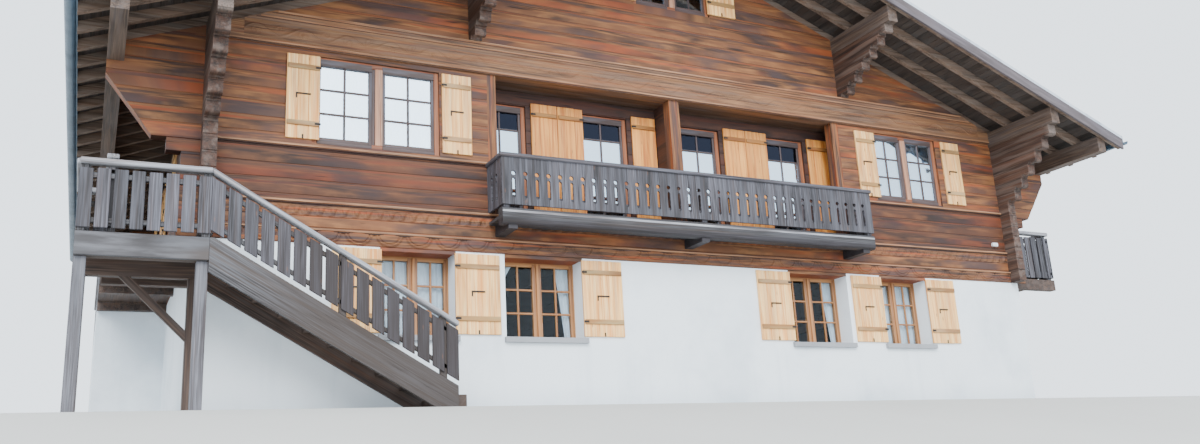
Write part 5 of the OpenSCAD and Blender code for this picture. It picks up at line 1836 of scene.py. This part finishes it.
@dataclass(frozen=True)
class Balcony:
    """Pierced boards, rails and posts of the balcony."""

    half: float = 3.37
    y: float = -6.07
    out: float = 0.57
    foot: float = 2.89
    top: float = 3.65
    post_foot: float = 2.85
    post_w: float = 0.09
    board_w: float = 0.182
    board_t: float = 0.03
    hand_t: float = 0.06
    hand_w: float = 0.14
    hand_lap: float = 0.03
    joint: float = 0.0015
    hole_drop: float = 0.235
    hole_r: float = 0.032
    slot: tuple[float, float, float] = (0.115, 0.375, 0.0225)
    nosing_z: float = 2.775

    def outline(self, w: float, h: float, pierced: tuple[bool, bool]) -> np.ndarray:
        """A board whose edges carry half of a round hole near the top and half of a slot below it.

        Args:
            w: Width of the board.
            h: Height of the board.
            pierced: Whether its left and its right edge is pierced.

        Returns:
            Points round the board, from its lower left corner.
        """
        z0, z1, s = self.slot
        arc = np.linspace(-math.pi / 2, math.pi / 2, 7)
        holes = [(0.0, z0 - s), (s, z0), (s, z1), (0.0, z1 + s)]
        holes += [(self.hole_r * math.cos(a), h - self.hole_drop + self.hole_r * math.sin(a)) for a in arc]
        plain = [(0.0, z0 + k * 0.05) for k in range(len(holes))]
        left, right = ([(self.joint + x, z) for x, z in (holes if cut else plain)] for cut in pierced)
        right = [(self.joint, 0.0), *right, (self.joint, h)]
        return np.array([(self.joint, 0.0), *((w - x, z) for x, z in right), (self.joint, h), *left[::-1]])

    def panel(
        self, bundle: Bundle, start: Sequence[float], along: np.ndarray, inwards: np.ndarray, length: float, seed: int,
    ) -> None:
        """A row of boards along a line.

        Args:
            bundle: Takes the boards.
            start: Start of the line, x and y.
            along: Unit vector along it.
            inwards: Unit vector from the boards' face to their back.
            length: Its length.
            seed: Number that its draws start from.
        """
        n = max(1, round(length / self.board_w))
        w, h = length / n, self.top - self.hand_t - self.foot
        rng = np.random.default_rng(seed)
        outlines = [self.outline(w, h, (k > 0, k < n - 1)) for k in range(n)]
        origin = np.array([*start, self.foot]) + np.arange(n)[:, None] * w * along
        origin = origin + inwards * rng.uniform(-0.004, 0.001, (n, 1))
        bundle.slabs(outlines, origin, along, UP, inwards * self.board_t, rng.uniform(0, 1, n))

    def build(self) -> None:
        """Front and end panels, foot rail, posts and handrail."""
        boards, rails, nosing = (Bundle(f"balcony_{part}") for part in ("boards", "rails", "nosing"))
        half, inner, y_in, w = self.half, self.half - self.board_t, self.y + self.board_t, self.post_w
        self.panel(boards, (-half, self.y), EAST, NORTH, 2 * half, 81)
        self.panel(boards, (-half, y_in), NORTH, EAST, self.out - self.board_t, 82)
        self.panel(boards, (half, y_in), NORTH, -EAST, self.out - self.board_t, 83)
        rails.blocks((-inner, y_in, self.foot + 0.08), (2 * inner, 0.05, 0.07), 0.2, 0.005)
        rim, under = half + self.hand_lap, self.top - self.hand_t
        corner = self.y - self.hand_lap
        rails.blocks((-rim, corner, under), (2 * rim, self.hand_w, self.hand_t), 0.8, 0.012, "xyz")
        corner, tall = corner + self.hand_w, under - self.post_foot
        for s in (-1, 1):
            end = (-s * self.hand_w, -HOUSE.half_d - corner, self.hand_t)
            rails.blocks((s * rim, corner, under), end, 0.7, 0.012, "yxz")
            rails.blocks((s * inner, y_in, self.post_foot), (-s * w, w, tall), 0.4)
        rails.blocks((-w / 2, y_in, self.post_foot), (w, w, tall), 0.4)
        nosing.blocks((-half, self.y - 0.002, self.nosing_z), (2 * half, 0.02, 0.035), 0.8, 0.004)
        boards.build(Palette.board, "grey_timber", "balcony_railing")
        rails.build(Palette.board, "grey_timber", "balcony_railing")
        nosing.build(Palette.silver, "grey_timber")


@dataclass(frozen=True)
class PackedParts:
    """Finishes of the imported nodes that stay."""

    nodes: dict[str, bpy.types.Object]

    def build(self) -> None:
        """Gives each node's object its material."""
        p, x, y, z = Palette, Grain.ALONG_X, Grain.ALONG_Y, Grain.ALONG_Z
        for names, finish in (
            ("ground_front_wall ground_back_wall ground_left_wall ground_right_wall store_walls", (p.render,)),
            ("ground_floor", (p.screed,)),
            ("ground_sills", (p.stone,)),
            ("first_floor attic_floor", (p.inner, Grain.ACROSS_Z)),
            ("front_belt_beam", (p.belt, x)),
            ("loggia_side_walls", (p.shade_log, y)),
            ("loggia_posts", (p.log, z)),
            ("corner_consoles purlin_consoles", (p.console, y)),
            ("purlins", (p.eave, y)),
            ("left_rafters right_rafters", (p.rafter, Grain.ACROSS_Z)),
            ("gutters", (p.gutter,)),
            ("doors", (p.frame, z)),
            ("ground_glass", (p.low_pane,)),
            ("upper_glass", (p.sky_pane,)),
            ("balcony_deck", (p.deck, x)),
            ("landing_deck", (p.dark, x)),
            ("gallery_decks", (p.dark, y)),
        ):
            for name in names.split():
                materials = self.nodes[name].data.materials
                materials.clear()
                materials.append(dressed(*finish))
                LOG.info("%s: %s", name, materials[0].name)


@dataclass(frozen=True)
class Studio:
    """Camera, floor and soft light."""

    eye: tuple[float, float, float] = (-8.417, -18.779, -1.045)
    right: tuple[float, float, float] = (0.8935469, -0.44572391, -0.05388996)
    down: tuple[float, float, float] = (0.06724342, 0.25153773, -0.96550872)
    ahead: tuple[float, float, float] = (0.44390568, 0.85910358, 0.25473276)
    lens: float = 30.305
    dip_y: float = -6.95
    dip: float = 0.232
    dip_r: float = 0.35

    def camera(self) -> None:
        """The camera at the photograph's viewing point."""
        data = bpy.data.cameras.new("view")
        data.sensor_width, data.lens = 36.0, self.lens
        data.clip_start, data.clip_end = 0.1, 300.0
        turn = Matrix([self.right, [-v for v in self.down], [-v for v in self.ahead]]).transposed().to_4x4()
        camera = bpy.data.objects.new("view", data)
        camera.matrix_world = Matrix.Translation(Vector(self.eye)) @ turn
        bpy.context.collection.objects.link(camera)
        bpy.context.scene.camera = camera

    def floor(self) -> None:
        """Level ground round the house that falls away smoothly in front of it."""
        x = np.linspace(-60, 60, 61)[None]
        spans = ((-32, -8.5, 48), (-8.3, -6.0, 24), (-5.5, 60, 30))
        y = np.concatenate([np.linspace(*span) for span in spans])[:, None]
        t = np.clip(self.dip_y - y, 0, None)
        ground = at(x, y, -self.dip * (np.sqrt(t**2 + self.dip_r**2) - self.dip_r))
        r, c, _ = ground.shape
        quads = cells(np.arange(r * c).reshape(1, r, c)).reshape(-1, 4)
        mesh = bpy.data.meshes.new("floor")
        mesh.from_pydata(ground.reshape(-1, 3).tolist(), [], quads.tolist())
        mesh.polygons.foreach_set("use_smooth", np.full(len(quads), True))
        g = Graph("floor_paint")
        soft = g.noise(g.join(*g.coords()), 0.4, 4.0)
        mesh.materials.append(g.surface(g.blend(soft, tint(184, 184, 180), tint(196, 196, 192)), 0.9))
        floor = bpy.data.objects.new("floor", mesh)
        bpy.context.collection.objects.link(floor)

    def lights(self) -> None:
        """A pale world, a soft sun from the front and a large panel above the view."""
        world = bpy.data.worlds.new("sky")
        bpy.context.scene.world = world
        world.use_nodes = True
        back = world.node_tree.nodes["Background"]
        back.inputs[0].default_value = (0.84, 0.92, 1.0, 1)
        back.inputs[1].default_value = 2.6
        for name, kind, energy, place, aim, key, size in (
            ("sun", "SUN", 2.8, (-12, -22, 22), (0, 0, 3), "angle", 0.5),
            ("panel", "AREA", 1500.0, (-4, -22, 9), (0, -5, 4), "size", 12.0),
        ):
            data = bpy.data.lights.new(name, kind)
            data.energy = energy
            setattr(data, key, size)
            lamp = bpy.data.objects.new(name, data)
            lamp.location = place
            lamp.rotation_euler = (Vector(aim) - Vector(place)).to_track_quat("-Z", "Y").to_euler()
            bpy.context.collection.objects.link(lamp)

    def build(self) -> None:
        """All of it."""
        self.camera()
        self.floor()
        self.lights()


def main() -> None:
    """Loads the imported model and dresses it."""
    logging.basicConfig(level=logging.INFO, format="%(name)s: %(message)s")
    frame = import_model()
    for part in (
        Studio(), PackedParts(frame["nodes"]), LogBody(), CarvedBands(), Roof(), Shutters(), Glazing(), WallLamp(),
        Curtains(), Balcony(), Stair(), Galleries(),
    ):
        part.build()


if __name__ == "__main__":
    main()
